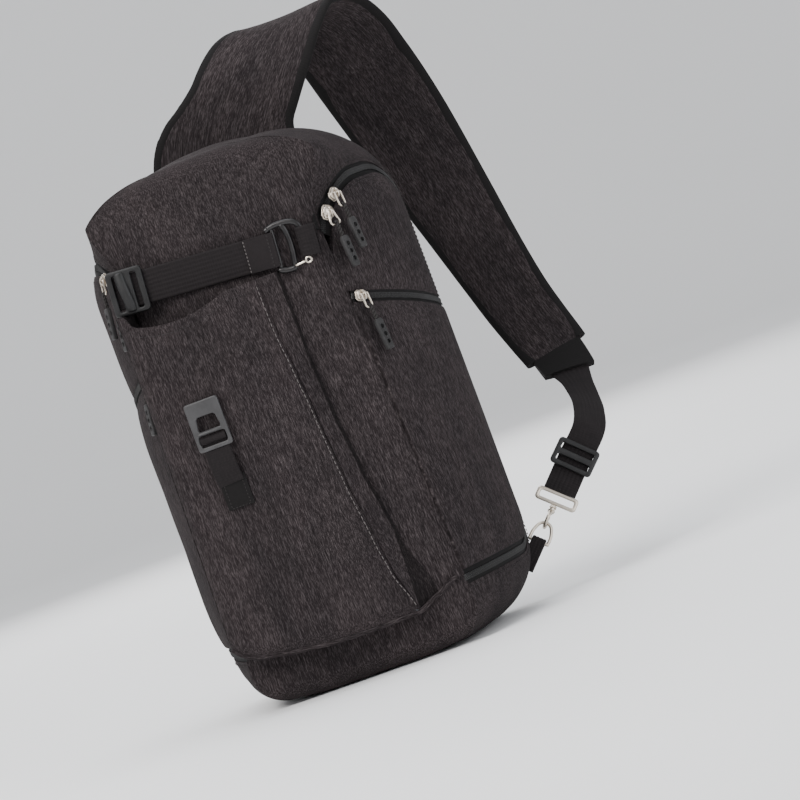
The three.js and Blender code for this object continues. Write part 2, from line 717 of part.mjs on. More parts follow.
const keeperY = pocketY(keeperX, keeperZ) - sewGap;
const keeperTilt = Math.atan2(
  pocketY(keeperX, keeperZ + 30) - pocketY(keeperX, keeperZ - 30),
  60,
);
const keeperBase = group(keeperX, keeperY, keeperZ);
keeperBase.rotation.x = -keeperTilt;
const windowHeight = 9;
const plateShape = roundedRect(keeperWidth, keeperLength, 2);
plateShape.holes.push(moved(roundedRect(keeperWidth - 8, windowHeight, 2), 0, 1));
plateShape.holes.push(moved(roundedRect(keeperWebbing + 1, 4, 1), 0, -keeperLength / 2 + barWidth + 3));
const keeperSeat = webbingThickness + 2.2;
add("keeper_plate", prismY(plateShape, -keeperSeat - keeperThickness, -keeperSeat, 4), plastic, keeperBase);
const keeperTop = -keeperLength / 2 + 14;
add(
  "keeper_webbing",
  block(
    -keeperWebbing / 2,
    keeperWebbing / 2,
    -webbingThickness - 1,
    -1,
    keeperTop - keeperTabLength,
    keeperTop,
  ),
  webbing,
  keeperBase,
);

// ---- shoulder strap ----

const v3 = (x, y, z) => new THREE.Vector3(x, y, z);
const yokeY = yBack + sewGap + strapThickness / 2 + 1.5;
const ringZ = doorBottom;
const ringCentre = v3(section(ringZ).wide + ringOutside, yBack - 4, ringZ);
const hookAxis = v3(0.6, 0.45, 0.66).normalize(); // the way the webbing leaves the corner
const snapStep = ringRadius + snapRadius - ringWire - snapWire - 0.5;
const snapCentre = ringCentre.clone().addScaledVector(hookAxis, snapStep);
const eyeZ = snapRadius + 5.6 + sewGap;
const eyeHeight = 11;
const strapEnd = snapCentre.clone().addScaledVector(hookAxis, eyeZ + eyeHeight + sewGap);
const beforeEnd = (distance) => strapEnd.clone().addScaledVector(hookAxis, distance);
const strapPath = new THREE.CatmullRomCurve3([
  v3(0, yokeY, bagHeight - 34),
  v3(2, yokeY, bagHeight - 10),
  v3(13, yokeY + 2, bagHeight + 14),
  v3(33, yokeY + 8, bagHeight + 42),
  v3(56, yokeY + 25, bagHeight + 68),
  v3(76, yokeY + 56, bagHeight + 82),
  v3(93, yokeY + 90, bagHeight + 66),
  v3(108, yokeY + 120, bagHeight + 6),
  v3(128, yokeY + 140, bagHeight - 92),
  v3(150, yokeY + 138, bagHeight - 184),
  v3(176, yokeY + 106, bagHeight - 252),
  beforeEnd(60),
  beforeEnd(40),
  beforeEnd(20),
  strapEnd,
]);
// Across the strap: level with the back at the yoke, then turning until it fits the eye at the corner.
function strapSide(t) {
  const tangent = strapPath.getTangentAt(t);
  const flatToBack = v3(tangent.z, 0, -tangent.x).normalize();
  return flatToBack.lerp(v3(1, 0, 0), share(t, 0.06, 0.2)).lerp(v3(0.74, 0, -0.67), share(t, 0.6, 0.95));
}
const yokeWidth = (t) => lerp(yokeWidthBase, strapWidth, share(t, 0.03, 0.11));
const padWidth = (t) => lerp(strapWidth, lowerWebbing + 16, share(t, yokeEnd, padEnd));
const between = sewGap / 600;
add(
  "shoulder_yoke",
  band(strapPath, 0, yokeEnd, 16, yokeWidth, strapThickness, strapSide, 2),
  cloth,
);
add(
  "shoulder_pad",
  band(strapPath, yokeEnd + between, padEnd, 14, padWidth, strapThickness, strapSide, 2),
  cloth,
);
const lower = (t) => lerp(lowerWebbing, webbingWidth, share(t, padEnd, padEnd + 0.06));
add(
  "lower_webbing",
  band(strapPath, padEnd + between, 1, 12, lower, webbingThickness, strapSide),
  webbing,
);

// Three-bar slide on the lower webbing: it stands on the webbing's outer face
const slideAt = 1 - 30 / strapPath.getLength();
const slideTangent = strapPath.getTangentAt(slideAt);
const slideWide = strapSide(slideAt).projectOnPlane(slideTangent).normalize();
const slideOut = new THREE.Vector3().crossVectors(slideTangent, slideWide);
const slide = group(0, 0, 0);
const slideLift = webbingThickness / 2 + sewGap + 0.6;
slide.position.copy(strapPath.getPointAt(slideAt)).addScaledVector(slideOut, slideLift);
slide.quaternion.setFromRotationMatrix(new THREE.Matrix4().makeBasis(slideTangent, slideWide, slideOut));
const slideShape = frameShape(22, railSpan, [[-4.8, 4.6], [4.8, 4.6]]);
const slideBody = new THREE.ExtrudeGeometry(slideShape, { depth: 2.6, bevelEnabled: false, curveSegments: 4 });
add("strap_slide", slideBody, plastic, slide);

// Snap hook: a swivel eye for the webbing, a round hook, and a sprung gate. Its own +Z runs along the strap.
const snap = group(snapCentre.x, snapCentre.y, snapCentre.z);
const snapX = v3(0, 1, 0).projectOnPlane(hookAxis).normalize();
const snapY = new THREE.Vector3().crossVectors(hookAxis, snapX);
snap.quaternion.setFromRotationMatrix(new THREE.Matrix4().makeBasis(snapX, snapY, hookAxis));
const rad = THREE.MathUtils.degToRad;

// An arc in the snap hook's XZ plane, angles measured from +X towards +Z.
function arc(radius, from, to, steps = 10) {
  const points = Array.from({ length: steps + 1 }, (_, i) => {
    const turn = rad(from + ((to - from) * i) / steps);
    return v3(radius * Math.cos(turn), 0, radius * Math.sin(turn));
  });
  return new THREE.CatmullRomCurve3(points);
}
const gateFrom = 60 - snapGap;
const snapArc = wire(arc(snapRadius, 60, 360 + gateFrom, 14), snapWire, 20, 8);
const collar = new THREE.CylinderGeometry(2.6, 3, 6, 12).rotateX(Math.PI / 2);
add("snap_hook", join(snapArc, collar.translate(0, 0, snapRadius + 2.6)), nickel, snap);
const gatePivot = v3(snapRadius * Math.cos(rad(60)), 0, snapRadius * Math.sin(rad(60)));
const gateTip = v3(snapRadius * Math.cos(rad(gateFrom)), 0, snapRadius * Math.sin(rad(gateFrom)));
const gateLine = gateTip.clone().sub(gatePivot).normalize();
const gateClear = snapWire + sewGap + 0.2;
const gateCurve = new THREE.LineCurve3(
  gatePivot.clone().addScaledVector(gateLine, gateClear),
  gateTip.clone().addScaledVector(gateLine, -gateClear),
);
add("hook_gate", wire(gateCurve, gateWire, 1, 8), nickel, snap);
const eyeOutline = roundedRect(webbingWidth + 8, eyeHeight, 3);
eyeOutline.holes.push(moved(roundedRect(webbingWidth + 2, 5.4, 1.5), 0, 0));
const eye = prismY(eyeOutline, -1.3, 1.3, 4).rotateZ(Math.PI / 2).translate(0, 0, eyeZ + eyeHeight / 2);
add("swivel_eye", eye, nickel, snap);

// D ring at the lower right corner, in a sewn tab. Its own X runs along its bar and Y along the strap.
const ringTurn = group(ringCentre.x, ringCentre.y, ringCentre.z);
ringTurn.quaternion.setFromRotationMatrix(new THREE.Matrix4().makeBasis(snapY, hookAxis, snapX));
const half = ringBar / 2;
const archCurve = new THREE.CatmullRomCurve3([
  v3(-half, -ringRadius, 0),
  v3(-half, -ringRadius / 2, 0),
  v3(-half * 0.93, 0, 0),
  v3(-half * 0.6, ringRadius * 0.75, 0),
  v3(0, ringRadius, 0),
  v3(half * 0.6, ringRadius * 0.75, 0),
  v3(half * 0.93, 0, 0),
  v3(half, -ringRadius / 2, 0),
  v3(half, -ringRadius, 0),
]);
const bar = new THREE.CapsuleGeometry(ringWire, ringBar, 3, 8).rotateZ(Math.PI / 2);
add("corner_ring", join(wire(archCurve, ringWire, 22), bar.translate(0, -ringRadius, 0)), nickel, ringTurn);

// The tab is one webbing round the ring's bar, sewn down on the body. Drawn in the ring's own Y and Z.
const plyGap = 0.4;
const tabRound = (2.1 / 1.3) * ringWire; // the loop clears the bar on its slanted sides too
const tabPinch = (4 / 1.3) * ringWire; // bar to where the two plies meet
const tabReach = 40;
const tabHalf = half - ringWire - 0.6; // between the ring's legs
function tabOutlineRound(inner) {
  const r = tabRound + inner;
  const shape = new THREE.Shape();
  shape.absarc(-ringRadius, 0, r, -Math.PI / 2 + 0.6, Math.PI / 2 - 0.6);
  shape.lineTo(-ringRadius - tabPinch - inner, plyGap / 2 + inner);
  if (inner) shape.lineTo(-ringRadius - tabReach, plyGap / 2 + inner);
  if (inner) shape.lineTo(-ringRadius - tabReach, -plyGap / 2 - inner);
  shape.lineTo(-ringRadius - tabPinch - inner, -plyGap / 2 - inner);
  return shape;
}
ringTurn.updateMatrixWorld(true);
const tabWeb = cut(
  prismX(tabOutlineRound(webbingThickness), -tabHalf, tabHalf, 8),
  prismX(tabOutlineRound(0), -far, far, 8),
).applyMatrix4(ringTurn.matrixWorld);
const bodyClear = bodyForm(-sewGap);
add("corner_tab_right", cut(tabWeb, bodyClear), webbing);

// Spare tab at the lower left corner: folded webbing that stands out of the seam
const spareOut = group(-section(ringZ).wide, yBack - 8, ringZ + 6);
spareOut.rotation.z = 0.35;
spareOut.updateMatrixWorld(true);
const spare = block(-10, 8, -webbingThickness, webbingThickness, -7, 7).applyMatrix4(spareOut.matrixWorld);
add("corner_tab_left", cut(spare, bodyClear), webbing);

export default bag;
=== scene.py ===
import math

import bmesh
import bpy
from mathutils import Matrix, Vector, kdtree, noise


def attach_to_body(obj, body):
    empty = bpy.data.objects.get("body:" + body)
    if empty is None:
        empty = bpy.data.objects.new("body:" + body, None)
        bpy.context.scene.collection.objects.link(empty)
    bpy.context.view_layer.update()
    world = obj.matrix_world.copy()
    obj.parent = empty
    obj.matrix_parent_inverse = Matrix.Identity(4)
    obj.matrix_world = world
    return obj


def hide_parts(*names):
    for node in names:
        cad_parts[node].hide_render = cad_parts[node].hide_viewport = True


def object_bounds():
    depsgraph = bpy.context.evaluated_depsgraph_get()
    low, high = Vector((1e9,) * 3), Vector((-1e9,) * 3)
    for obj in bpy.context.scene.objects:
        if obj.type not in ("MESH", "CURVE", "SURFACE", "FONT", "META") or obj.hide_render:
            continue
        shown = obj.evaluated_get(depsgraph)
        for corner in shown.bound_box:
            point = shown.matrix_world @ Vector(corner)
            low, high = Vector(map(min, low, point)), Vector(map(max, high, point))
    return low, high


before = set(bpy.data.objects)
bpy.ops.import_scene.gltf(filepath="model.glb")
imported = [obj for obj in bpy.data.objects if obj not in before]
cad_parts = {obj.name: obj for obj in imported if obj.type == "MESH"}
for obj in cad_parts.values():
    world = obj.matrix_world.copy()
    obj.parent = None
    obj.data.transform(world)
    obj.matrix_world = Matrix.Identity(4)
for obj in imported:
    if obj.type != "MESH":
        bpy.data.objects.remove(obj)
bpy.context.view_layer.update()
mm = 0.001
sides = (("right", 1), ("left", -1))

# Camera and light.
view = {
    "azimuth": 11, "elevation": 2, "lean": 20.5,  # degrees
    "distance": 3.0, "span": 0.6, "aimRight": 0.0766, "aimUp": 0.006, "aimHeight": 0.2, "filmWidth": 36,
}


def standing(place, x, y, z):  # a place and the directions of its three axes
    return Matrix.Translation(place) @ Matrix((x, y, z)).transposed().to_4x4()


def placeCamera():
    turn, rise, lean = (math.radians(view[k]) for k in ("azimuth", "elevation", "lean"))
    forward = Vector((-math.sin(turn) * math.cos(rise), math.cos(turn) * math.cos(rise), -math.sin(rise)))
    levelRight = Vector((math.cos(turn), math.sin(turn), 0))
    levelUp = levelRight.cross(forward)
    right = math.cos(lean) * levelRight - math.sin(lean) * levelUp
    up = math.sin(lean) * levelRight + math.cos(lean) * levelUp
    aim = Vector((0, 0, view["aimHeight"])) + right * view["aimRight"] + up * view["aimUp"]
    data = bpy.data.cameras.new("camera")
    data.sensor_width = view["filmWidth"]
    data.lens = view["filmWidth"] * view["distance"] / view["span"]
    data.clip_start = 0.02
    camera = bpy.data.objects.new("camera", data)
    camera.matrix_world = standing(aim - forward * view["distance"], right, up, -forward)
    bpy.context.collection.objects.link(camera)
    bpy.context.scene.camera = camera


lights = [  # name, place, height it aims at, size, power, colour
    ("key", (-0.9, -1.5, 1.7), 0.2, 1.1, 42, (1.0, 0.98, 0.96)),
    ("fill", (1.9, -1.3, 0.8), 0.2, 1.4, 20, (0.95, 0.97, 1.0)),
    ("top", (0.1, 0.1, 2.2), 0.3, 1.2, 26, (0.93, 0.96, 1.0)),
    ("rear", (-0.6, 2.0, 1.2), 0.25, 1.4, 24, (1, 1, 1)),
]
sky = {"colour": (0.93, 0.94, 0.96, 1), "strength": 0.75}


def placeLights():
    for name, place, aimHeight, size, power, colour in lights:
        data = bpy.data.lights.new(name, "AREA")
        data.size = size
        data.energy = power
        data.color = colour
        lamp = bpy.data.objects.new(name, data)
        lamp.location = place
        beam = Vector((0, 0, aimHeight)) - Vector(place)
        lamp.rotation_euler = beam.to_track_quat("-Z", "Y").to_euler()
        bpy.context.collection.objects.link(lamp)
    world = bpy.data.worlds.new("studio")
    world.use_nodes = True
    background = world.node_tree.nodes["Background"].inputs
    background[0].default_value = sky["colour"]
    background[1].default_value = sky["strength"]
    bpy.context.scene.world = world


# Materials.
class Value:  # one output of a node; Python's operators on it make Math nodes
    def __init__(self, shader, socket):
        self.shader = shader
        self.socket = socket

    def calc(self, operation, first, second):
        return self.shader.node("ShaderNodeMath", {"operation": operation}, {0: first, 1: second})

    def __add__(self, other):
        return self.calc("ADD", self, other)

    def __radd__(self, other):
        return self.calc("ADD", other, self)

    def __sub__(self, other):
        return self.calc("SUBTRACT", self, other)

    def __rsub__(self, other):
        return self.calc("SUBTRACT", other, self)

    def __mul__(self, other):
        return self.calc("MULTIPLY", self, other)

    def __rmul__(self, other):
        return self.calc("MULTIPLY", other, self)


class Finish:  # a material and the nodes that make it
    def __init__(self, name, **fixed):
        self.material = bpy.data.materials.new(name)
        self.material.use_nodes = True
        self.tree = self.material.node_tree
        self.surface = self.tree.nodes["Principled BSDF"]
        for socket, value in fixed.items():
            self.surface.inputs[socket.replace("_", " ")].default_value = value

    def node(self, kind, settings=None, sockets=None, output=0):
        made = self.tree.nodes.new(kind)
        for key, value in (settings or {}).items():
            if key == "stops":
                while len(made.color_ramp.elements) < len(value):
                    made.color_ramp.elements.new(0.5)
                for element, (place, shade) in zip(made.color_ramp.elements, value):
                    element.position = place
                    element.color = (*shade, 1) if isinstance(shade, tuple) else (shade, shade, shade, 1)
            else:
                setattr(made, key, value)
        for key, value in (sockets or {}).items():
            self.feed(made.inputs[key], value)
        return Value(self, made.outputs[output])

    def feed(self, socket, value):
        if isinstance(value, Value):
            self.tree.links.new(value.socket, socket)
        elif hasattr(socket.default_value, "__len__") and len(value) < len(socket.default_value):
            socket.default_value = (*value, 1)
        else:
            socket.default_value = value

    def weave(self, across=1.0, thick=1.0, along=1.0):  # the cloth's own coordinates, in metres
        place = self.node("ShaderNodeAttribute", {"attribute_name": "weave"}, output="Vector")
        scaled = {0: place, 1: (across, thick, along)}
        return self.node("ShaderNodeVectorMath", {"operation": "MULTIPLY"}, scaled)

    def body(self, scale):  # the bag's own coordinates
        place = self.node("ShaderNodeTexCoord", output="Object")
        return self.node("ShaderNodeVectorMath", {"operation": "SCALE"}, {0: place, "Scale": scale})

    def cloud(self, place, detail=2.0, rough=0.5):
        sockets = {"Vector": place, "Scale": 1.0, "Detail": detail, "Roughness": rough}
        return self.node("ShaderNodeTexNoise", {}, sockets)

    def ramp(self, value, *stops):
        return self.node("ShaderNodeValToRGB", {"stops": stops}, {0: value})

    def mix(self, share, first, second, blend="MIX"):
        settings = {"data_type": "RGBA", "blend_type": blend}
        return self.node("ShaderNodeMix", settings, {0: share, 6: first, 7: second}, output=2)

    def bands(self, place, axis, scale):
        settings = {"wave_type": "BANDS", "bands_direction": axis, "wave_profile": "SIN"}
        return self.node("ShaderNodeTexWave", settings, {"Vector": place, "Scale": scale, "Distortion": 0.0})

    def set(self, **values):
        for socket, value in values.items():
            self.feed(self.surface.inputs[socket.replace("_", " ")], value)
        return self

    def bump(self, height, strength, distance):
        sockets = {"Height": height, "Strength": strength, "Distance": distance * mm}
        self.feed(self.surface.inputs["Normal"], self.node("ShaderNodeBump", {}, sockets))
        return self


# Melange cloth: fine pale hairs along the bag, in patches, over a faint twill.
def clothFinish(name, dark, middle, light, slub=1.0):
    f = Finish(name, Specular_IOR_Level=0.08)
    hair = f.cloud(f.weave(3000, 3000, 300), 2, 0.6)
    thread = f.cloud(f.weave(1500, 1500, 120), 2, 0.6)
    patch = f.cloud(f.weave(34, 34, 14), 3, 0.6)
    grain = hair * 0.55 + thread * 0.45
    colour = f.ramp(grain, (0.34, dark), (0.5, middle), (0.7 - 0.02 * slub, light))
    tint = f.ramp(patch, (0.35, (0.8, 0.78, 0.79)), (0.65, (1.16, 1.1, 1.1)))
    f.set(Base_Color=f.mix(1.0, colour, tint, "MULTIPLY"), Roughness=grain * 0.25 + 0.78)
    twill = f.bands(f.weave(1, 1, 0.55), "DIAGONAL", 260)
    return f.bump(grain * 0.8 + twill * 0.3, 0.55, 0.5).material


def webbingFinish(name, dark, light):
    f = Finish(name, Specular_IOR_Level=0.12)
    rows = f.bands(f.weave(1, 1, 1), "Z", 165)
    fuzz = f.cloud(f.weave(900, 900, 500), 2, 0.6)
    colour = f.mix(fuzz * 0.85 + rows * 0.15, dark, light)
    f.set(Base_Color=colour, Roughness=0.68 + fuzz * 0.25)
    return f.bump(rows * 0.25 + fuzz * 0.5, 0.5, 0.2).material


def meshFinish(name, dark, light):
    f = Finish(name, Specular_IOR_Level=0.2)
    place = {"Vector": f.weave(1, 1, 0.8), "Scale": 330.0}
    cells = f.node("ShaderNodeTexVoronoi", {"feature": "DISTANCE_TO_EDGE"}, place)
    walls = f.ramp(cells, (0.04, 1.0), (0.16, 0.0))
    patch = f.cloud(f.weave(40, 40, 40), 2)
    f.set(Base_Color=f.mix(walls, dark, light), Roughness=0.8 + patch * 0.2)
    return f.bump(walls + patch * 0.3, 0.8, 0.8).material


def metalFinish(name, base, rough, worn):
    f = Finish(name, Metallic=1.0)
    haze = f.cloud(f.body(160), 4, 0.6)
    scuff = f.cloud(f.body(900), 3, 0.6)
    f.set(Base_Color=f.mix(haze, base, worn), Roughness=haze * 0.12 + scuff * 0.06 + (rough - 0.06))
    return f.material


def plasticFinish(name, base, rough, grainSize=2600, spec=0.5):
    f = Finish(name, Specular_IOR_Level=spec)
    grain = f.cloud(f.body(grainSize), 2, 0.5)
    wear = f.cloud(f.body(70), 4, 0.65)
    lighter = tuple(c * 1.5 + 0.006 for c in base)
    worn = f.ramp(wear, (0.45, 0.0), (0.8, 1.0))
    f.set(Base_Color=f.mix(worn, base, lighter), Roughness=rough + wear * 0.18)
    return f.bump(grain, 0.2, 0.08).material


def floorFinish(name, pale, white):
    f = Finish(name, Specular_IOR_Level=0.2)
    f.set(Base_Color=f.mix(f.cloud(f.body(3)), pale, white), Roughness=0.9)
    return f.material


finishTable = {  # the maker of each finish and what it is given
    "cloth": (clothFinish, (0.0085, 0.007, 0.0074), (0.0215, 0.018, 0.0187), (0.082, 0.072, 0.073)),
    # the same cloth made darker, as painted shade on the pocket's folded facet, its left side and its floor
    "clothDark": (clothFinish, (0.005, 0.0042, 0.0043), (0.011, 0.0095, 0.0097), (0.042, 0.037, 0.037)),
    "lining": (clothFinish, (0.05, 0.055, 0.06), (0.09, 0.097, 0.105), (0.15, 0.16, 0.17), 0.0),
    "binding": (webbingFinish, (0.004, 0.0037, 0.0037), (0.014, 0.0127, 0.0128)),
    "webbing": (webbingFinish, (0.006, 0.005, 0.0052), (0.022, 0.0185, 0.0193)),
    "zipTape": (webbingFinish, (0.004, 0.0038, 0.0039), (0.015, 0.014, 0.0142)),
    "airMesh": (meshFinish, (0.004, 0.004, 0.004), (0.028, 0.027, 0.028)),
    "coil": (plasticFinish, (0.013, 0.0125, 0.0125), 0.4, 2600, 0.35),
    "nickel": (metalFinish, (0.66, 0.59, 0.5), 0.3, (0.5, 0.45, 0.39)),
    "gunmetal": (metalFinish, (0.028, 0.027, 0.028), 0.34, (0.06, 0.058, 0.058)),
    "blackPlastic": (plasticFinish, (0.007, 0.0068, 0.007), 0.36, 2600, 0.35),
    "greyPlastic": (plasticFinish, (0.03, 0.029, 0.03), 0.34),
    "gripRubber": (plasticFinish, (0.021, 0.02, 0.0203), 0.5, 3200, 0.3),
    "cordThread": (webbingFinish, (0.012, 0.011, 0.011), (0.05, 0.046, 0.045)),
    "stitchThread": (webbingFinish, (0.02, 0.018, 0.018), (0.05, 0.045, 0.045)),
    "paleThread": (webbingFinish, (0.08, 0.072, 0.07), (0.17, 0.155, 0.15)),
    "board": (plasticFinish, (0.03, 0.03, 0.032), 0.6),
    "floorCloth": (floorFinish, (0.93, 0.932, 0.935), (0.96, 0.962, 0.965)),
}
finishes = {name: maker(name, *given) for name, (maker, *given) in finishTable.items()}
print("materials made:", len(finishes))


# Making meshes; every length here is in millimetres.
def clamp(value, low=0.0, high=1.0):
    return max(low, min(high, value))


def lerp(first, second, share):
    return first + (second - first) * share


def ease(share):
    share = clamp(share)
    return share * share * (3 - 2 * share)


def makeMesh(name, points, faces, finish, weave=None, smoothAngle=45):
    mesh = bpy.data.meshes.new(name)
    mesh.from_pydata([Vector(p) * mm for p in points], [], faces)
    mesh.update()
    addWeave(mesh, weave or points)
    return makeObject(name, mesh, finish, smoothAngle)


def addWeave(mesh, places):
    attribute = mesh.attributes.get("weave") or mesh.attributes.new("weave", "FLOAT_VECTOR", "POINT")
    attribute.data.foreach_set("vector", [c * mm for p in places for c in p])


def makeObject(name, mesh, finish, smoothAngle=45):
    mesh.materials.clear()
    for one in [finish] if isinstance(finish, str) else finish:
        mesh.materials.append(finishes[one])
    mesh.shade_smooth()
    mesh.set_sharp_from_angle(angle=math.radians(smoothAngle))
    made = bpy.data.objects.new(name, mesh)
    bpy.context.collection.objects.link(made)
    return made


def applied(obj):  # the mesh with its modifiers applied
    bpy.context.view_layer.update()
    fresh = bpy.data.meshes.new_from_object(obj.evaluated_get(bpy.context.evaluated_depsgraph_get()))
    obj.modifiers.clear()
    old = obj.data
    obj.data = fresh
    bpy.data.meshes.remove(old)
    return obj


# Gives a sheet its thickness inwards, with rolled edges; the lining is the next material.
def thickened(obj, thickness, lining=0, roll=0, segments=2, turn=55, even=False):
    solid = obj.modifiers.new("thickness", "SOLIDIFY")
    solid.thickness = thickness * mm
    solid.offset = -1
    solid.use_even_offset = even
    solid.material_offset = lining
    if roll:
        rounded = obj.modifiers.new("roll", "BEVEL")
        rounded.width = roll * mm
        rounded.segments = segments
        rounded.limit_method = "ANGLE"
        rounded.angle_limit = math.radians(turn)
    return applied(obj)


def attach(obj, body, slot, *nodes):
    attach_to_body(obj, body)
    if nodes:
        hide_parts(*nodes)
    return obj


def gridFaces(rows, columns, closed=False, offset=0, flip=False):
    faces = []
    for i in range(rows - 1):
        for j in range(columns if closed else columns - 1):
            k = (j + 1) % columns
            face = [i * columns + j, i * columns + k, (i + 1) * columns + k, (i + 1) * columns + j]
            faces.append([offset + v for v in (face[::-1] if flip else face)])
    return faces


# A closed profile, a list of (across, up), carried along stations of (place, side, up).
def sweep(name, stations, profile, finish, loop=False, smoothAngle=45):
    points, weave = [], []
    run, last = 0.0, None
    for place, side, up in stations:
        run += (place - last).length if last is not None else 0
        last = place
        for a, b in profile:
            points.append(place + side * a + up * b)
            weave.append((a, b, run))
    count, n = len(stations), len(profile)
    faces = gridFaces(count, n, True)
    if loop:
        faces += [[(count - 1) * n + j, (count - 1) * n + (j + 1) % n, (j + 1) % n, j] for j in range(n)]
    else:
        faces += endFaces(count, n)
    return closedMesh(name, points, faces, finish, weave, smoothAngle)


def endFaces(rows, columns):  # the two faces that close a tube
    return [list(range(columns))[::-1], [(rows - 1) * columns + j for j in range(columns)]]


def closedMesh(name, points, faces, finish, weave=None, smoothAngle=45):  # with its faces turned outwards
    made = makeMesh(name, points, faces, finish, weave, smoothAngle)
    fixNormals(made.data)
    return made


def fixNormals(mesh):
    bm = bmesh.new()
    bm.from_mesh(mesh)
    bmesh.ops.recalc_face_normals(bm, faces=bm.faces)
    bm.to_mesh(mesh)
    bm.free()


def circle(radius, sides=10, squash=1.0):
    turns = [2 * math.pi * i / sides for i in range(sides)]
    return [(radius * math.cos(t), radius * squash * math.sin(t)) for t in turns]


def stationsAlong(path, up=None, loop=False):  # up is a fixed direction, or one for each point
    made = []
    count = len(path)
    for i, place in enumerate(path):
        ahead = path[(i + 1) % count] if loop or i + 1 < count else place
        behind = path[i - 1] if loop or i else place
        along = (ahead - behind).normalized()
        top = up[i] if isinstance(up, list) else up
        if top is None:
            top = Vector((0, 0, 1)) if abs(along.z) < 0.9 else Vector((1, 0, 0))
        side = along.cross(top).normalized()
        made.append((place, side, side.cross(along).normalized()))
    return made


def smoothPath(points, steps):  # a smooth curve through the points
    points = [Vector(p) for p in points]
    count = len(points)
    made = []
    for i in range(count - 1):
        b, c = points[i], points[i + 1]
        a = points[i - 1] if i else b * 2 - c
        d = points[i + 2] if i + 2 < count else c * 2 - b
        for k in range(steps):
            t = k / steps
            square = (2 * a - 5 * b + 4 * c - d) * t * t
            cube = (3 * b - a - 3 * c + d) * t**3
            made.append(0.5 * (2 * b + (c - a) * t + square + cube))
    return made + [points[-1]]


def upsAcross(path, sideways):  # the directions square to a path and to the line across it
    ups = []
    for i in range(len(path)):
        ahead = (path[min(i + 1, len(path) - 1)] - path[max(i - 1, 0)]).normalized()
        ups.append(ahead.cross(sideways).normalized())
    return ups


def nearestTo(points):
    tree = kdtree.KDTree(len(points))
    for i, p in enumerate(points):
        tree.insert(p, i)
    tree.balance()
    return tree


def spaced(path, ups, step):  # stations at even distances, which keep the path's own ups
    tree = nearestTo(path)
    spots = evenly(path, step)
    return stationsAlong(spots, [ups[tree.find(p)[1]] for p in spots])


def shifted(base, x=0.0, y=0.0, z=0.0):
    return base @ Matrix.Translation((x, y, z))


def evenly(path, step):  # the same path with points at even distances
    lengths = [0.0]
    for a, b in zip(path, path[1:]):
        lengths.append(lengths[-1] + (b - a).length)
    count = max(2, round(lengths[-1] / step))
    made, at = [], 0
    for i in range(count + 1):
        goal = lengths[-1] * i / count
        while at < len(path) - 2 and lengths[at + 1] < goal:
            at += 1
        gap = lengths[at + 1] - lengths[at]
        made.append(path[at].lerp(path[at + 1], (goal - lengths[at]) / gap if gap else 0))
    return made


# A moulded or stamped plate: outlines in its own X and Y, holes among them, with rounded edges.
def plate(name, outlines, thickness, bevel, finish, place):
    curve = bpy.data.curves.new(name, "CURVE")
    curve.dimensions = "2D"
    curve.fill_mode = "BOTH"
    curve.extrude = (thickness / 2 - bevel) * mm
    curve.bevel_depth = bevel * mm
    curve.bevel_resolution = 2
    curve.offset = -bevel * mm
    for outline in outlines:
        spline = curve.splines.new("POLY")
        spline.points.add(len(outline) - 1)
        for point, (x, y) in zip(spline.points, outline):
            point.co = (x * mm, y * mm, 0, 1)
        spline.use_cyclic_u = True
    holder = bpy.data.objects.new(name, curve)
    bpy.context.collection.objects.link(holder)
    bpy.context.view_layer.update()
    mesh = bpy.data.meshes.new_from_object(holder.evaluated_get(bpy.context.evaluated_depsgraph_get()))
    bpy.data.objects.remove(holder)
    bm = bmesh.new()
    bm.from_mesh(mesh)
    bmesh.ops.remove_doubles(bm, verts=bm.verts, dist=0.00001)
    bmesh.ops.recalc_face_normals(bm, faces=bm.faces)
    bm.to_mesh(mesh)
    bm.free()
    addWeave(mesh, [v.co * 1000 for v in mesh.vertices])
    scaled = place.copy()
    scaled.translation = place.translation * mm
    mesh.transform(scaled)
    return makeObject(name, mesh, finish, 35)


def roundedRect(width, height, radius, x=0.0, y=0.0):
    points, steps = [], 5
    corners = ((1, 1, 0), (-1, 1, 90), (-1, -1, 180), (1, -1, 270))
    for sx, sy, start in corners:
        for i in range(steps + 1):
            turn = math.radians(start + 90 * i / steps)
            px = sx * (width / 2 - radius) + radius * math.cos(turn)
            py = sy * (height / 2 - radius) + radius * math.sin(turn)
            points.append((x + px, y + py))
    return points


def joined(name, parts):  # one piece from several, which keep their finishes
    bm = bmesh.new()
    slots, materials = {}, []
    for part in parts:
        first = len(bm.faces)
        moved = part.data.copy()
        moved.transform(part.matrix_world)
        indexes = []
        for material in moved.materials:
            if material.name not in slots:
                slots[material.name] = len(materials)
                materials.append(material)
            indexes.append(slots[material.name])
        bm.from_mesh(moved)
        bm.faces.ensure_lookup_table()
        for face in bm.faces[first:]:
            face.material_index = indexes[face.material_index]
        bpy.data.meshes.remove(moved)
        bpy.data.objects.remove(part)
    mesh = bpy.data.meshes.new(name)
    bm.to_mesh(mesh)
    bm.free()
    for material in materials:
        mesh.materials.append(material)
    mesh.set_sharp_from_angle(angle=math.radians(40))
    made = bpy.data.objects.new(name, mesh)
    bpy.context.collection.objects.link(made)
    return made


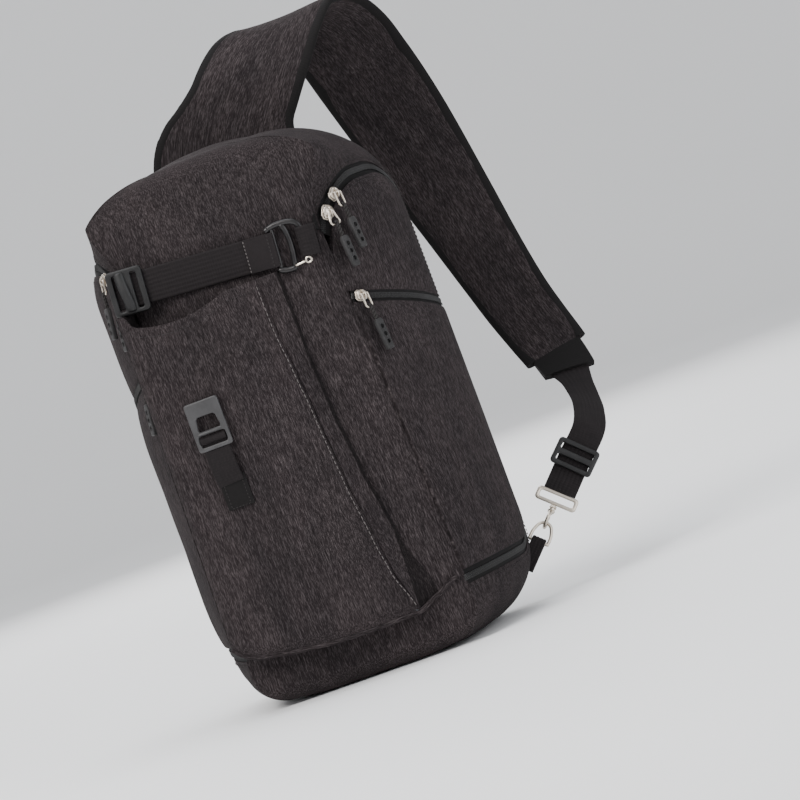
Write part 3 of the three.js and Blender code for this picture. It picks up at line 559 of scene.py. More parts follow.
# The form of the body, the same as the solids'.
bag = {
    "height": 400, "width": 244, "depth": 140,
    "wide": 38, "cornerInset": 14, "topCorner": 80, "bottomCorner": 52,
    "seamTop": 77, "seamBottom": 90, "seamCorner": 28, "seamFlare": 16, "edgeRound": 12, "lean": 14,
    "crown": 8, "bulge": 1.7, "rim": 48, "wall": 7, "flareFrom": 325,
    "doorBottom": 45, "doorFront": 308, "doorTop": 350, "doorCorner": 25, "doorTopCorner": 38, "doorEnd": 45,
    "archY": -12, "archLength": 45, "archEnd": 162, "zipGap": 3, "arcSteps": 8,
    "pocketZipFront": 262, "pocketZipBack": 232, "pocketZipShift": 5.3, "farAway": 400,
}
yWide = bag["wide"]
halfDepth = bag["depth"] / 2


def cornerInset(distance, radius):
    return 0 if distance >= radius else radius - math.sqrt(max(0, radius**2 - (radius - distance) ** 2))


def endInset(z, top, bottom):
    return max(cornerInset(bag["height"] - z, top), cornerInset(z, bottom))


def section(z):
    curve = cornerInset(min(z, bag["height"] - z), bag["edgeRound"])
    seam = lerp(bag["seamBottom"], bag["seamTop"], min(z / bag["doorFront"], 1.05))
    corner = endInset(z, bag["seamCorner"], bag["seamCorner"])
    seam += bag["seamFlare"] * ease((z - bag["flareFrom"]) / 60) - corner
    wide = bag["width"] / 2 - endInset(z, bag["topCorner"], bag["bottomCorner"])
    return {
        "seam": min(seam, wide - 4),
        "wide": wide,
        "front": -halfDepth + bag["lean"] * z / bag["height"] + curve,
        "back": halfDepth - curve,
    }


def frontY(x, z):
    s, t = section(z), clamp(z / bag["height"])
    return s["front"] - bag["crown"] * 4 * t * (1 - t) * (1 - (x / s["seam"]) ** 2)


def sideX(y, z):
    s = section(z)
    if y > yWide:
        share = clamp((y - yWide) / (s["back"] - yWide))
        return s["wide"] - bag["cornerInset"] + bag["cornerInset"] * math.sqrt(1 - share**2)
    t = clamp((y - s["front"]) / (yWide - s["front"]))
    return s["seam"] + (s["wide"] - s["seam"]) * (1 - (1 - t) ** bag["bulge"])


def sideNormal(y, z):
    alongY = Vector((sideX(y + 2, z) - sideX(y - 2, z), 4, 0))
    alongZ = Vector((sideX(y, z + 2) - sideX(y, z - 2), 0, 4))
    return alongY.cross(alongZ).normalized()


def sidePoint(y, z, lift=0.0, sign=1):
    place = Vector((sideX(y, z), y, z)) + sideNormal(y, z) * lift
    return Vector((place.x * sign, place.y, place.z))


bodyGrid = {"bend": 8, "front": 30, "side": 34, "back": 22, "levels": 110, "cap": 9, "dome": 5}


# Half a level section from the middle of the front to the middle of the back, as (x, y).
def halfSection(z):
    s = section(z)
    points = []
    for i in range(bodyGrid["front"]):
        x = s["seam"] * i / bodyGrid["front"]
        points.append((x, frontY(x, z)))
    for i in range(bodyGrid["side"]):
        y = lerp(s["front"], bag["rim"], i / bodyGrid["side"])
        points.append((sideX(y, z), y))
    corner = s["wide"] - bag["cornerInset"]
    start = math.asin(clamp((bag["rim"] - yWide) / (s["back"] - yWide), 0, 1))
    for i in range(bodyGrid["bend"]):
        turn = lerp(start, math.pi / 2, i / bodyGrid["bend"])
        y = yWide + (s["back"] - yWide) * math.sin(turn)
        points.append((corner + bag["cornerInset"] * math.cos(turn), y))
    flat = bodyGrid["back"] - bodyGrid["bend"]
    points += [(corner * (1 - i / flat), s["back"]) for i in range(flat + 1)]
    return points


def bodyRings():
    rings = []
    levels = bodyGrid["levels"]
    for i in range(levels + 1):
        z = bag["height"] * (0.5 - 0.5 * math.cos(math.pi * i / levels))
        half = halfSection(z)
        whole = half + [(-x, y) for x, y in half[-2:0:-1]]
        rings.append([Vector((x, y, z)) for x, y in whole])
    for last, first, direction in ((rings[-1], False, 1), (rings[0], True, -1)):
        middle = Vector((0, sum(p.y for p in last) / len(last), last[0].z))
        for i in range(1, bodyGrid["cap"] + 1):
            share = 1 - i / (bodyGrid["cap"] + 0.35)
            dome = bodyGrid["dome"] * (1 - share**2) if direction > 0 else 0
            ring = [middle.lerp(p, share) + Vector((0, 0, dome)) for p in last]
            if first:
                rings.insert(0, ring)
            else:
                rings.append(ring)
    return rings


rings = bodyRings()
around = len(rings[0])
caps = bodyGrid["cap"]
quarter = {"seam": bodyGrid["front"], "rim": bodyGrid["front"] + bodyGrid["side"], "end": around // 2}


# The quads of the body that a test keeps, as a mesh that the piece is then cut from.
def bodyPiece(keep):
    bm = bmesh.new()
    made = {}

    def corner(i, j):
        j %= around
        if (i, j) not in made:
            made[i, j] = bm.verts.new(rings[i][j])
        return made[i, j]

    for i in range(len(rings) - 1):
        for j in range(around):
            k = j if j < quarter["end"] else around - 1 - j  # the same from both sides
            zone = "front" if k < quarter["seam"] else "side" if k < quarter["rim"] else "back"
            if keep(i, j, zone):
                bm.faces.new([corner(i, j), corner(i, j + 1), corner(i + 1, j + 1), corner(i + 1, j)])
    if keep(len(rings) - 1, 0, "cap"):
        bm.faces.new([corner(len(rings) - 1, j) for j in range(around)])
    if keep(-1, 0, "cap"):
        bm.faces.new([corner(0, j) for j in range(around)][::-1])
    bm.normal_update()
    return bm


# Cuts faces along a line seen in Y and Z; what lies to the left of the line is behind the cut.
def cutAlong(bm, faces, start, end, clear):
    parts = set(faces) | {e for f in faces for e in f.edges} | {v for f in faces for v in f.verts}
    (y0, z0), (y1, z1) = start, end
    through, normal = Vector((0, y0, z0)), Vector((0, z1 - z0, -(y1 - y0))).normalized()
    cut = {"geom": list(parts), "dist": 0.01, "plane_co": through, "plane_no": normal, "clear_outer": clear}
    return through, normal, bmesh.ops.bisect_plane(bm, **cut)["geom"]


def cutLine(bm, start, end):  # keeps what lies to the left
    cutAlong(bm, list(bm.faces), start, end, True)


def keepInside(bm, outline):
    for start, end in zip(outline, outline[1:]):
        cutLine(bm, start, end)


def cutHole(bm, outline, sign):  # takes a convex outline out of one side
    inside = [f for f in bm.faces if f.calc_center_median().x * sign > 0]
    for start, end in zip(outline, outline[1:]):
        through, normal, made = cutAlong(bm, inside, start, end, False)
        touched = set(inside) | {g for g in made if isinstance(g, bmesh.types.BMFace)}
        inside = [f for f in touched if f.is_valid and (f.calc_center_median() - through).dot(normal) < 0]
    bmesh.ops.delete(bm, geom=inside, context="FACES")


far = bag["farAway"]


def doorOutline(grow):
    steps = bag["arcSteps"]
    yEnd = bag["doorEnd"] + grow
    low, high = bag["doorBottom"] - grow, bag["doorTop"] + grow
    r, top = bag["doorCorner"] + grow, bag["doorTopCorner"] + grow
    points = [(-far, low), (yEnd - r, low)]
    points += arcPoints(yEnd - r, low + r, r, r, -90, 0, steps)
    points += arcPoints(yEnd - top, high - top, top, top, 0, 90, steps)
    arch, rise = bag["archLength"] + grow, high - bag["doorFront"]
    points += arcPoints(bag["archY"], bag["doorFront"], arch, rise, 90, bag["archEnd"], steps + 2)
    (y0, z0), (y1, z1) = points[-2:]
    points.append((-far, z1 + (z1 - z0) / (y1 - y0) * (-far - y1)))
    return points


def arcPoints(y, z, radius, height, start, end, steps):
    turns = [math.radians(lerp(start, end, i / steps)) for i in range(steps + 1)]
    return [(y + radius * math.cos(t), z + height * math.sin(t)) for t in turns]


pocketSlope = (bag["pocketZipBack"] - bag["pocketZipFront"]) / (yWide + halfDepth)


def pocketZipZ(y):  # the pocket zip's middle line
    return bag["pocketZipFront"] + pocketSlope * (y + halfDepth) + bag["pocketZipShift"]


puffs = {
    "rise": 3.2, "reach": 16, "wrinkle": 0.9, "wave": 46, "stretch": 0.55, "fine": 3.1, "fineShare": 0.35,
    "bevelSteps": 3, "bevelTurn": 50, "smooth": 60, "fill": 0.5,
}


# Pads a cut surface: it rises away from its edges, waves a little, and gets a thickness
# with rolled edges.
def pillow(name, bm, finish, thickness, lift=0.0, rise=None, roll=1.8, wrinkle=None, lowEdge=0.0):
    rise = puffs["rise"] if rise is None else rise
    wrinkle = puffs["wrinkle"] if wrinkle is None else wrinkle
    bmesh.ops.remove_doubles(bm, verts=bm.verts, dist=0.02)
    bm.normal_update()
    edge = [v.co for e in bm.edges if e.is_boundary for v in e.verts]
    tree = nearestTo(edge)
    moves = []
    for v in bm.verts:
        distance = tree.find(v.co)[2] if edge else puffs["reach"] * 3
        up = rise * (1 - math.exp(-distance / puffs["reach"])) - lowEdge * math.exp(-distance / 3)
        place = v.co / puffs["wave"]
        stretched = Vector((place.x, place.y, place.z * puffs["stretch"]))
        crease = noise.noise(stretched * puffs["fine"] + Vector((7, 3, 1)))
        up += wrinkle * noise.noise(stretched) * (1 - math.exp(-distance / 10))
        up += wrinkle * puffs["fineShare"] * crease * (1 - math.exp(-distance / 6))
        moves.append(v.normal * (up + lift))
    for v, move in zip(bm.verts, moves):
        v.co += move
    weave = [(v.co.x, v.co.y, v.co.z + ease((v.co.z - 370) / 25) * (v.co.y + 60)) for v in bm.verts]
    flat = bpy.data.meshes.new(name)
    bm.to_mesh(flat)
    bm.free()
    flat.transform(Matrix.Scale(mm, 4))
    addWeave(flat, weave)
    lined = finish != "cloth"
    made = makeObject(name, flat, finish, puffs["smooth"])
    thickened(made, thickness, int(lined), roll, puffs["bevelSteps"], puffs["bevelTurn"], True)
    made.data.shade_smooth()
    made.data.set_sharp_from_angle(angle=math.radians(puffs["smooth"]))
    return made


placeCamera()
placeLights()

# Padded shell.
shell = {"zipHalf": 4.6, "frontCap": 4}


def inFront(i, j, zone):
    return zone == "front" and caps - shell["frontCap"] <= i < len(rings) - 1 - caps + shell["frontCap"]


def inBack(i, j, zone):
    return zone == "back" and caps - 1 <= i < len(rings) - caps


def inGusset(i, j, zone):
    return not inFront(i, j, zone) and not inBack(i, j, zone)


frontPanel = pillow("frontPanel", bodyPiece(inFront), ("cloth", "lining"), bag["wall"], lowEdge=0.6)
attach(frontPanel, "bag", "cloth", "front_panel")
backPanel = pillow("backPanel", bodyPiece(inBack), ("airMesh", "lining"), bag["wall"], rise=1.0, wrinkle=0.4)
attach(backPanel, "bag", "mesh", "back_panel")

frameEdge = bag["zipGap"] + shell["zipHalf"] - 1
for name, node, low in (("topGusset", "top_gusset", False), ("bottomGusset", "bottom_gusset", True)):
    gusset = bodyPiece(lambda i, j, zone: inGusset(i, j, zone) and (i < len(rings) // 2) == low)
    for _, sign in sides:
        cutHole(gusset, doorOutline(frameEdge), sign)
    attach(pillow(name, gusset, ("cloth", "lining"), bag["wall"], rise=2.4), "bag", "cloth", node)
print("shell made")

# Doors.
door = {
    "tapeWidth": 8.0, "tapeSink": 1.4, "tapeThick": 0.9, "tapeShift": 4.0,
    "toothPitch": 1.5, "toothWidth": 2.3, "toothHeight": 1.25, "toothShift": 1.05,
    "pocketTape": (11, 0.8), "pocketToothWidth": 2.1,
    "pocketToothHeight": 1.1, "stitchOut": 3.2, "coverGap": 4.6,
}


def sidePiece(sign):
    half, top = around // 2, len(rings) - caps
    return bodyPiece(lambda i, j, zone: zone == "side" and (j < half) == (sign > 0) and caps <= i < top)


# A cut line laid on the side, from the front seam round to it again.
def outlinePath(outline, lift, sign):
    flatLine = evenly([Vector((0, y, z)) for y, z in outline], 1.0)
    onSide = [p for p in flatLine if p.y > section(p.z)["front"] + 0.4]
    return evenly([sidePoint(p.y, p.z, lift, sign) for p in onSide], 3.0)


def sideUps(path, sign):
    ups = []
    for p in path:
        n = sideNormal(p.y, p.z)
        ups.append(Vector((n.x * sign, n.y, n.z)))
    return ups


def flatTape(name, path, ups, width, thickness, finish, shift=0.0):
    w, t = width / 2, thickness / 2
    profile = [(shift - w, -t), (shift + w, -t), (shift + w, t), (shift - w, t)]
    return sweep(name, stationsAlong(path, ups), profile, finish, smoothAngle=30)


# Moulded coil teeth in a row: each is a low rounded bar across the zip.
def teethRow(name, path, ups, shift, width, height, start):
    points, faces, weave = [], [], []
    pitch = door["toothPitch"]
    for place, side, up in spaced(path, ups, pitch):
        along = side.cross(up)
        base = len(points)
        for a in (shift - width / 2, shift + width / 2):
            for b, c in ((-0.42, 0), (-0.3, 0.75), (0, 1), (0.3, 0.75), (0.42, 0)):
                points.append(place + side * a + along * (b + start) * pitch + up * c * height)
                weave.append((a, c, b * pitch))
        tooth = [(k, k + 1, k + 6, k + 5) for k in range(4)]
        tooth += [(4, 3, 2, 1, 0), (5, 6, 7, 8, 9), (0, 5, 9, 4)]
        faces += [[base + k for k in face] for face in tooth]
    return closedMesh(name, points, faces, "coil", weave, 50)


def stitches(name, path, ups, finish, length=2.3, gap=1.1, width=0.55, height=0.35):
    points, faces = [], []
    for place, side, up in spaced(path, ups, length + gap):
        along = side.cross(up)
        base = len(points)
        points.append(place - along * length / 2)
        for end in (-1, 1):
            for x, z in ((-1, 0), (0, 1), (1, 0), (0, -1)):
                points.append(place + along * end * length * 0.25 + side * x * width / 2 + up * z * height)
        points.append(place + along * length / 2)
        for k in range(4):
            n = (k + 1) % 4
            quad = [base + 1 + k, base + 5 + k, base + 5 + n, base + 1 + n]
            faces += [[base, base + 1 + k, base + 1 + n], quad, [base + 9, base + 5 + n, base + 5 + k]]
    return closedMesh(name, points, faces, finish)


for side, sign in sides:
    body = "door_" + side
    panel = sidePiece(sign)
    keepInside(panel, doorOutline(-shell["zipHalf"]))
    made = pillow("doorPanel_" + side, panel, ("cloth", "lining"), bag["wall"] - 1, lift=-1.2, rise=1.5)
    attach(made, body, "cloth", "door_panel_" + side)

    # the cloth above the pocket's zip, and the pocket below it: gap, rise and thickness
    for name, below, rise, skin in (("doorUpper_", False, 2.2, 1.6), ("doorPocket_", True, 3.4, 2.4)):
        cover = sidePiece(sign)
        keepInside(cover, doorOutline(-shell["zipHalf"]))
        gap = -door["coverGap"] if below else door["coverGap"]
        ends = [(-far, pocketZipZ(-far) + gap), (far, pocketZipZ(far) + gap)]
        cutLine(cover, *(ends[::-1] if below else ends))
        made = pillow(name + side, cover, "cloth", skin + 1.2, lift=skin, rise=rise, roll=1.2, lowEdge=0.4)
        attach(made, body, "cloth", *(["door_pocket_" + side] if below else []))

    # main zip: a tape and a row of teeth on each edge
    for name, grow, shift, node, rider in (
        ("doorZip_", 1.2, -1, "door_zip_tape_", body),
        ("frameZip_", 1.8, 1, "frame_zip_tape_", "bag"),
    ):
        path = outlinePath(doorOutline(grow), -door["tapeSink"], sign)
        out = shift * sign * door["tapeShift"]
        size = (door["tapeWidth"], door["tapeThick"])
        tape = flatTape(name + side, path, sideUps(path, sign), *size, "zipTape", out)
        attach(tape, rider, "zip_tape", node + side)
        high = outlinePath(doorOutline(1.5), -door["tapeSink"] + 0.5, sign)
        row = (shift * sign * door["toothShift"], door["toothWidth"], door["toothHeight"], max(shift, 0) / 2)
        attach(teethRow(name + "teeth_" + side, high, sideUps(high, sign), *row), rider, "zip_tape")
    for grow, lift, name, rider in (
        (-shell["zipHalf"] - door["stitchOut"], 2.0, "doorStitch_", body),
        (frameEdge + door["stitchOut"], 0.75, "frameStitch_", "bag"),
    ):
        path = outlinePath(doorOutline(grow), lift, sign)
        attach(stitches(name + side, path, sideUps(path, sign), "stitchThread"), rider, "cloth")

    # pocket zip
    line = outlinePath([(-far, pocketZipZ(-far)), (far, pocketZipZ(far))], 0.6, sign)
    path = [p for p in line if p.y < bag["doorEnd"] - 6]
    ups = sideUps(path, sign)
    tape = flatTape("pocketZip_" + side, path, ups, *door["pocketTape"], "zipTape")
    attach(tape, body, "zip_tape", "pocket_zip_tape_" + side)
    raised = [p + u * 0.5 for p, u in zip(path, ups)]
    for shift in (-1, 1):
        row = (shift, door["pocketToothWidth"], door["pocketToothHeight"], max(shift, 0) / 2)
        attach(teethRow(f"pocketZipTeeth{shift > 0:d}_" + side, raised, ups, *row), body, "zip_tape")
print("doors made")

# Front pocket.
pocket = {
    "left": (92, 86), "foot": 28, "mouth": 300, "stand": (22, 29), "skin": 2.6, "side": 2, "sag": 8,
    "rows": 70,
    "stitchLine": ((39, 51), (66, 42), (95, 37), (135, 32), (198, 28), (231, 25), (261, 22), (301, 21)),
    "pleatLine": (
        (34, 52), (60, 52.5), (93, 52.5), (111, 50), (140, 45), (194, 39.5), (233, 37.5), (301, 36),
    ),
    "lip": (
        (-93, 52), (-83, 45), (-72, 40.5), (-42, 36), (-12, 33), (20, 32.5), (52, 33), (66, 39), (80, 46),
    ),
}


def along(table, at):
    for (a, u), (b, v) in zip(table, table[1:]):
        if at <= b:
            return lerp(u, v, ease((at - a) / (b - a)) * 0.4 + clamp((at - a) / (b - a)) * 0.6)
    return table[-1][1]


def heightShare(z):
    return clamp((z - pocket["foot"]) / (pocket["mouth"] - pocket["foot"]))


def pocketStand(z):
    return lerp(*pocket["stand"], heightShare(z) ** 2)


def mouthZ(x):
    sag = pocket["sag"] * max(0, 1 - ((x + 32) / 52) ** 2)
    return pocket["mouth"] + 1 - sag + 8 * ease((-x - 76) / 12)


def pocketPoint(u, v):  # u runs to 1 at the stitch line, to 2 at the pleat, and to 3 where the fold ends
    flat = lerp(-pocket["left"][0], 52, min(u, 1))
    low = along(pocket["lip"], flat) if u <= 1 else lerp(33, 34 + 9 * clamp(u - 2), clamp(u - 1))
    z = lerp(low, mouthZ(flat) if u <= 1 else pocket["mouth"] + 1, v)
    stitch, pleat = along(pocket["stitchLine"], z), along(pocket["pleatLine"], z)
    end = pleat + 3 + 17 * ease((92 - z) / 46)
    left = -lerp(*pocket["left"], heightShare(z))
    stand = pocketStand(z)
    pleatStand = lerp(8.5, 16, ease((100 - z) / 60))
    folded = lerp(stand * 0.52, stand * 0.85, ease((130 - z) / 90))
    if u <= 1:
        x = lerp(left, stitch, u)
        puff = 3.0 * (1 - (2 * u - 1) ** 4) * math.sin(math.pi * clamp(v * 0.9 + 0.1)) ** 0.5
        roll = 5 * ease((0.055 - u) / 0.055) + 2.5 * ease((0.03 - v) / 0.03)
        out = lerp(stand, folded, ease((u - 0.5) / 0.5)) + puff - roll
    elif u <= 2:
        x = lerp(stitch, pleat, u - 1)
        out = lerp(folded, pleatStand, u - 1) - 1.5 * math.sin(math.pi * min(1, (u - 1) * 6))
    else:
        x = lerp(pleat, end, u - 2)
        out = lerp(pleatStand, -1.5, (u - 2) ** 0.7)
    wave = noise.noise(Vector((x, z * 0.5, 3)) / 34) * 1.3 + noise.noise(Vector((x, z * 0.7, 9)) / 13) * 0.35
    return Vector((x, frontY(min(x, 70), z) - out - wave * min(1, out / 12), z))


columns = [i / 34 for i in range(35)] + [1.03, 1.1, 1.17, 1.3, 1.5, 1.75, 1.92, 2, 2.12, 2.3, 2.55, 2.8, 3]
rows = [0, 0.006, 0.015, 0.03] + [0.03 + 0.97 * i / pocket["rows"] for i in range(1, pocket["rows"] + 1)]
grid = [pocketPoint(u, v) for v in rows for u in columns]
# the third finish is the darker cloth, painted shade for the fold at the foot
finish = ("cloth", "lining", "clothDark")
panel = makeMesh("pocketPanel", grid, gridFaces(len(rows), len(columns)), finish, smoothAngle=70)
for face in panel.data.polygons:  # the fold at the foot gets the darker copy of the cloth, as painted shade
    face.material_index = 2 if face.index % (len(columns) - 1) > 41 else 0
thickened(panel, pocket["skin"], 1, 0.7)
attach(panel, "bag", "cloth", "pocket_panel", "pocket_gusset_right", "pocket_gusset_left", "pocket_floor")

# the left side of the pocket and its floor, in the darker cloth as painted shade, and the rolled lip along
# the foot
leftWall, floor = [], []
for p in [pocketPoint(0, v) for v in rows]:
    s = section(p.z)
    back = Vector((-s["seam"] - 1, s["front"] + 4, p.z))
    middle = p.lerp(back, 0.55) + Vector((4 + 2 * math.sin(p.z / 31), 0, 0))
    leftWall += [p + Vector((0.6, 1.2, 0)), p.lerp(middle, 0.5), middle, middle.lerp(back, 0.5), back]
for i in range(41):
    edge = pocketPoint(i / 40 * 0.999, 0)
    back = Vector((max(edge.x, -86), frontY(edge.x, edge.z + 3) + 3, edge.z + 3))
    floor += [edge + Vector((0, 1.0, 0.6)), edge.lerp(back, 0.5) + Vector((0, 0, 2)), back]
for name, points, across in (("pocketSide", leftWall, 5), ("pocketFloor", floor, 3)):
    faces = gridFaces(len(points) // across, across)
    made = makeMesh(name, points, faces, "clothDark", smoothAngle=70)
    attach(thickened(made, pocket["side"]), "bag", "cloth")
foot = [pocketPoint(i / 30, 0) + Vector((0, 0.4, -0.4)) for i in range(31)]
for x in (56, 60, 64, 68, 72, 76, 80, 83):
    z = along(pocket["lip"], x)
    foot.append(Vector((x, frontY(x, z) - lerp(15, 2.5, ease((x - 52) / 20)), z)))
lip = smoothPath(foot, 2)
attach(sweep("pocketLip", stationsAlong(lip), circle(1.9, 10), "cloth"), "bag", "cloth")
forward = Vector((0, -1, 0))
hem = [pocketPoint(i / 30, 1 - 0.028) + Vector((0, -0.15, 0)) for i in range(1, 31)]
attach(stitches("mouthStitch", smoothPath(hem, 2), [forward] * 59, "stitchThread"), "bag", "cloth")
fold = [pocketPoint(1.0, v / 40) + Vector((-0.6, -0.25, 0)) for v in range(1, 40)]
size = (3.4, 0.7, 0.7, 0.4)
attach(stitches("foldStitch", smoothPath(fold, 2), [forward] * 77, "paleThread", *size), "bag", "cloth")
print("pocket made")

# Webbing and plates on the front.
webbing = {
    "width": 25.4, "rib": 0.35, "strapZ": 326, "strapLow": 314, "hookBack": 31, "stitch": (2.0, 0.7, 0.7),
}
turnedUp = Matrix.Rotation(math.radians(90), 4, "X")  # a plate drawn in X and Y then faces the front
strapSpan = 2 * section(webbing["strapLow"])["seam"] - 2
strapStart = Vector((-section(webbing["strapZ"])["seam"] - 4, frontY(0, 320) - 4, webbing["strapZ"]))
strapBase = Matrix.Translation(strapStart) @ Matrix.Rotation(math.atan2(12, strapSpan), 4, "Y")
hookStart = strapSpan - webbing["hookBack"]


def ribbed(width, thickness, ribs=8):
    count = ribs * 4
    top = []
    for i in range(count + 1):
        across = -width / 2 + width * i / count
        edge = min(1, (width / 2 - abs(across)) / 0.6)
        high = thickness / 2 + webbing["rib"] * (abs(math.sin(math.pi * ribs * i / count)) - 0.6)
        top.append((across, high * lerp(0.35, 1, edge)))
    return top + [(a, -b) for a, b in top[::-1]]


def placed(points, base):
    return [base @ Vector(p) for p in points]


def ribbon(name, path, ups, width, thickness, body, *nodes, ribs=8):
    made = sweep(name, stationsAlong(path, ups), ribbed(width, thickness, ribs), "webbing", smoothAngle=75)
    return attach(made, body, "webbing", *nodes)


def patch(name, base, width, height, thickness, body, finish="webbing"):
    made = plate(name, [roundedRect(width, height, 0.8)], thickness, 0.45, finish, base)
    return attach(made, body, "webbing")


outward = (strapBase.to_3x3() @ Vector((0, -1, 0))).normalized()
flatRun = []
for x in range(12, round(hookStart) + 4, 3):  # it stands a little off the pocket in the middle
    flatRun.append((x, -1.9 - 0.4 * math.sin(math.pi * (x - 12) / (hookStart - 12)), 0))
ribbon("frontStrap", placed(flatRun, strapBase), outward, webbing["width"], 1.7, "front_strap", "front_strap")
patchAt = shifted(strapBase, hookStart - 9, -3.5) @ turnedUp
patch("frontStrapEnd", patchAt, 23, 25.6, 1.6, "front_strap")
for back, finish in ((20, "paleThread"), (2, "stitchThread")):
    line = placed([(hookStart - back, -4.3, z) for z in range(-11, 12, 2)], strapBase)
    made = stitches(f"strapEndStitch{back > 10:d}", line, [outward] * 12, finish, *webbing["stitch"])
    attach(made, "front_strap", "webbing")


def bar(name, points, radius, squash, finish, base, up=Vector((0, -1, 0)), sides=12, taper=0.6):
    path = smoothPath(placed(points, base), 5)
    tops = (base.to_3x3() @ up).normalized()
    stations = stationsAlong(path, tops)
    profile = circle(radius, sides, squash)
    made = sweep(name, stations, profile, finish, smoothAngle=70)
    count = len(stations)
    for i, (place, _, _) in enumerate(stations):  # rounded ends
        share = min(i, count - 1 - i)
        if share < 2:
            for j in range(sides):
                v = made.data.vertices[i * sides + j]
                v.co = (place * mm).lerp(v.co, (taper, 0.9)[share])
    return made


hookAt = shifted(strapBase, hookStart, -1.5)
hookBars = [
    ((2.2, 0, 15), (2.2, 0, 5), (2.2, 0, -5), (2.2, 0, -15)),
    (
        (-1.5, 0, 14.8), (1.5, 0, 16.3), (6, 0, 17.2), (13, 0, 17.4), (19, 0, 16.2), (22.6, 0, 13),
        (23.4, 0, 8),
    ),
    ((9.5, 0, 17), (12, 0, 12), (13.4, 0, 4), (13.6, 0, -4), (13, 0, -11), (12.6, 0, -16)),
    ((-0.5, 0, -15.2), (4, 0, -16.6), (9, 0, -17), (13.5, 0, -16.4)),
    ((23.4, 0, 9), (23.4, 0, 3), (23.4, 0, -5), (23.4, 0, -13.6)),
]
parts = []
for i, points in enumerate(hookBars):
    parts.append(bar(f"hookBar{i}", points, 2.2 if i else 1.6, 0.8, "gunmetal", hookAt))
parts.append(bar("hookKnob", ((-2.6, 0, 14.4), (-1.2, 0, 15), (0.4, 0, 15.8)), 2.5, 0.9, "gunmetal", hookAt))
attach(joined("strapHook", parts), "front_strap", "gunmetal", "strap_hook")
wirePoints = ((12.4, -0.6, -15.6), (14, -2.2, -15.4), (18, -3.2, -14.7), (21.5, -3.4, -14.1))
gate = [bar("hookWire", wirePoints, 0.85, 1, "nickel", hookAt, sides=8)]
loopRound = placed([(24 + x, -3.4, z - 13.6) for x, z in circle(2.1, 12)], hookAt)
gate.append(sweep("hookRing", stationsAlong(loopRound, outward, True), circle(0.8, 8), "nickel", loop=True))
attach(joined("hookGateWire", gate), "front_strap", "nickel", "hook_wire")

arm = hookStart + 23.4
loopPath = [
    (10.5, -3.6), (6.5, -5.0), (1.5, -5.6), (-2.4, -4.2), (-3.6, -1.5), (-2.2, 1.2), (2, 2.2), (10.5, 1.6),
]
loopPath = smoothPath(placed([(arm + x, y, 0) for x, y in loopPath], strapBase), 5)
upright = (strapBase.to_3x3() @ Vector((0, 0, 1))).normalized()
ribbon("hookAnchor", loopPath, upsAcross(loopPath, -upright), 22.6, 1.6, "bag", "hook_anchor")

# ladder-lock adjuster: a frame with two slots and a bulged middle bar
adjuster = [roundedRect(28, 34, 3, 7.5, 0)] + [roundedRect(4.2, 27, 1.4, x, 0) for x in (0.2, 14.6)]
adjusterAt = shifted(strapBase, y=-4.4) @ turnedUp
parts = [plate("adjusterPlate", adjuster, 3.6, 1.1, "blackPlastic", adjusterAt)]
bulge = []
for k in range(13):
    turn = math.pi * k / 12
    bulge.append((5.6 + 1.6 * math.cos(turn), -5.6 - 1.6 * math.sin(turn), -15 + 30 * k / 12))
parts.append(bar("adjusterBar", bulge, 3.9, 0.55, "blackPlastic", strapBase, sides=14))
thread = placed([(-4, -2.6, 0), (2, -2.3, 0), (8, -2.6, 0), (14, -2.3, 0), (20, -2.0, 0)], strapBase)
ribbon("strapThread", smoothPath(thread, 4), forward, 25, 1.4, "front_strap")
attach(joined("strapAdjuster", parts), "front_strap", "black_plastic", "strap_adjuster")
tab = [Vector((x, frontY(max(x, -76), 326) - 2.0, 326)) for x in range(-78, -58, 2)]
ribbon("adjusterTab", tab, forward, 24, 1.4, "bag", "adjuster_tab")

# Gear keeper.
keeper = {"x": -45, "z": 212, "reach": 30, "off": 3.2}


def pocketFaceY(z):
    return frontY(keeper["x"], z) - pocketStand(z)


keeperLow, keeperHigh = keeper["z"] - keeper["reach"], keeper["z"] + keeper["reach"]
keeperTilt = math.atan2(pocketFaceY(keeperHigh) - pocketFaceY(keeperLow), 2 * keeper["reach"])
keeperPlace = Matrix.Translation((keeper["x"], pocketFaceY(keeper["z"]) - keeper["off"], keeper["z"]))
keeperBase = keeperPlace @ Matrix.Rotation(-keeperTilt, 4, "X")
plateFace = shifted(keeperBase, 0.8, -5.5) @ turnedUp
window = [(-8, -1.5), (8, -1.5), (8.6, 0.5), (7.4, 7.8), (6, 9.2), (-6, 9.2), (-7.4, 7.8), (-8.6, 0.5)]
lower = roundedRect(20.5, 8.6, 1.6, 0, -8.8)
openings = [roundedRect(26.5, 37, 2.2, 0, 2.2), window, lower]
parts = [plate("keeperFrame", openings, 3, 0.9, "greyPlastic", plateFace)]
rib = ((-9, -6.6, -3.1), (0, -6.9, -3.1), (9, -6.6, -3.1))
parts.append(bar("keeperRib", rib, 1.2, 1, "greyPlastic", keeperBase, up=Vector((0, -1, 0.01))))
attach(joined("keeperPlate", parts), "keeper_plate", "grey_plastic", "keeper_plate")
roll = placed([(0.8, -5.2, -8.5)], keeperBase)[0]
sideways = (keeperBase.to_3x3() @ Vector((1, 0, 0))).normalized()
rollPath = [roll + sideways * x for x in (-9.8, -9.4, -5, 0, 5, 9.4, 9.8)]
rollStations = stationsAlong(rollPath, Vector((0, 0, 1)))
attach(sweep("keeperRoll", rollStations, circle(2.9, 14), "webbing"), "bag", "webbing")
hang = [(0.8, -3.6, -9), (0.8, -4.6, -14), (0.8, -5.2, -22), (0.8, -4.8, -32), (1, -3.0, -40), (1.2, -2, -44)]
hangPath = smoothPath(placed(hang, keeperBase), 5)
tops = [u * -1 if u.y > 0 else u for u in upsAcross(hangPath, sideways)]
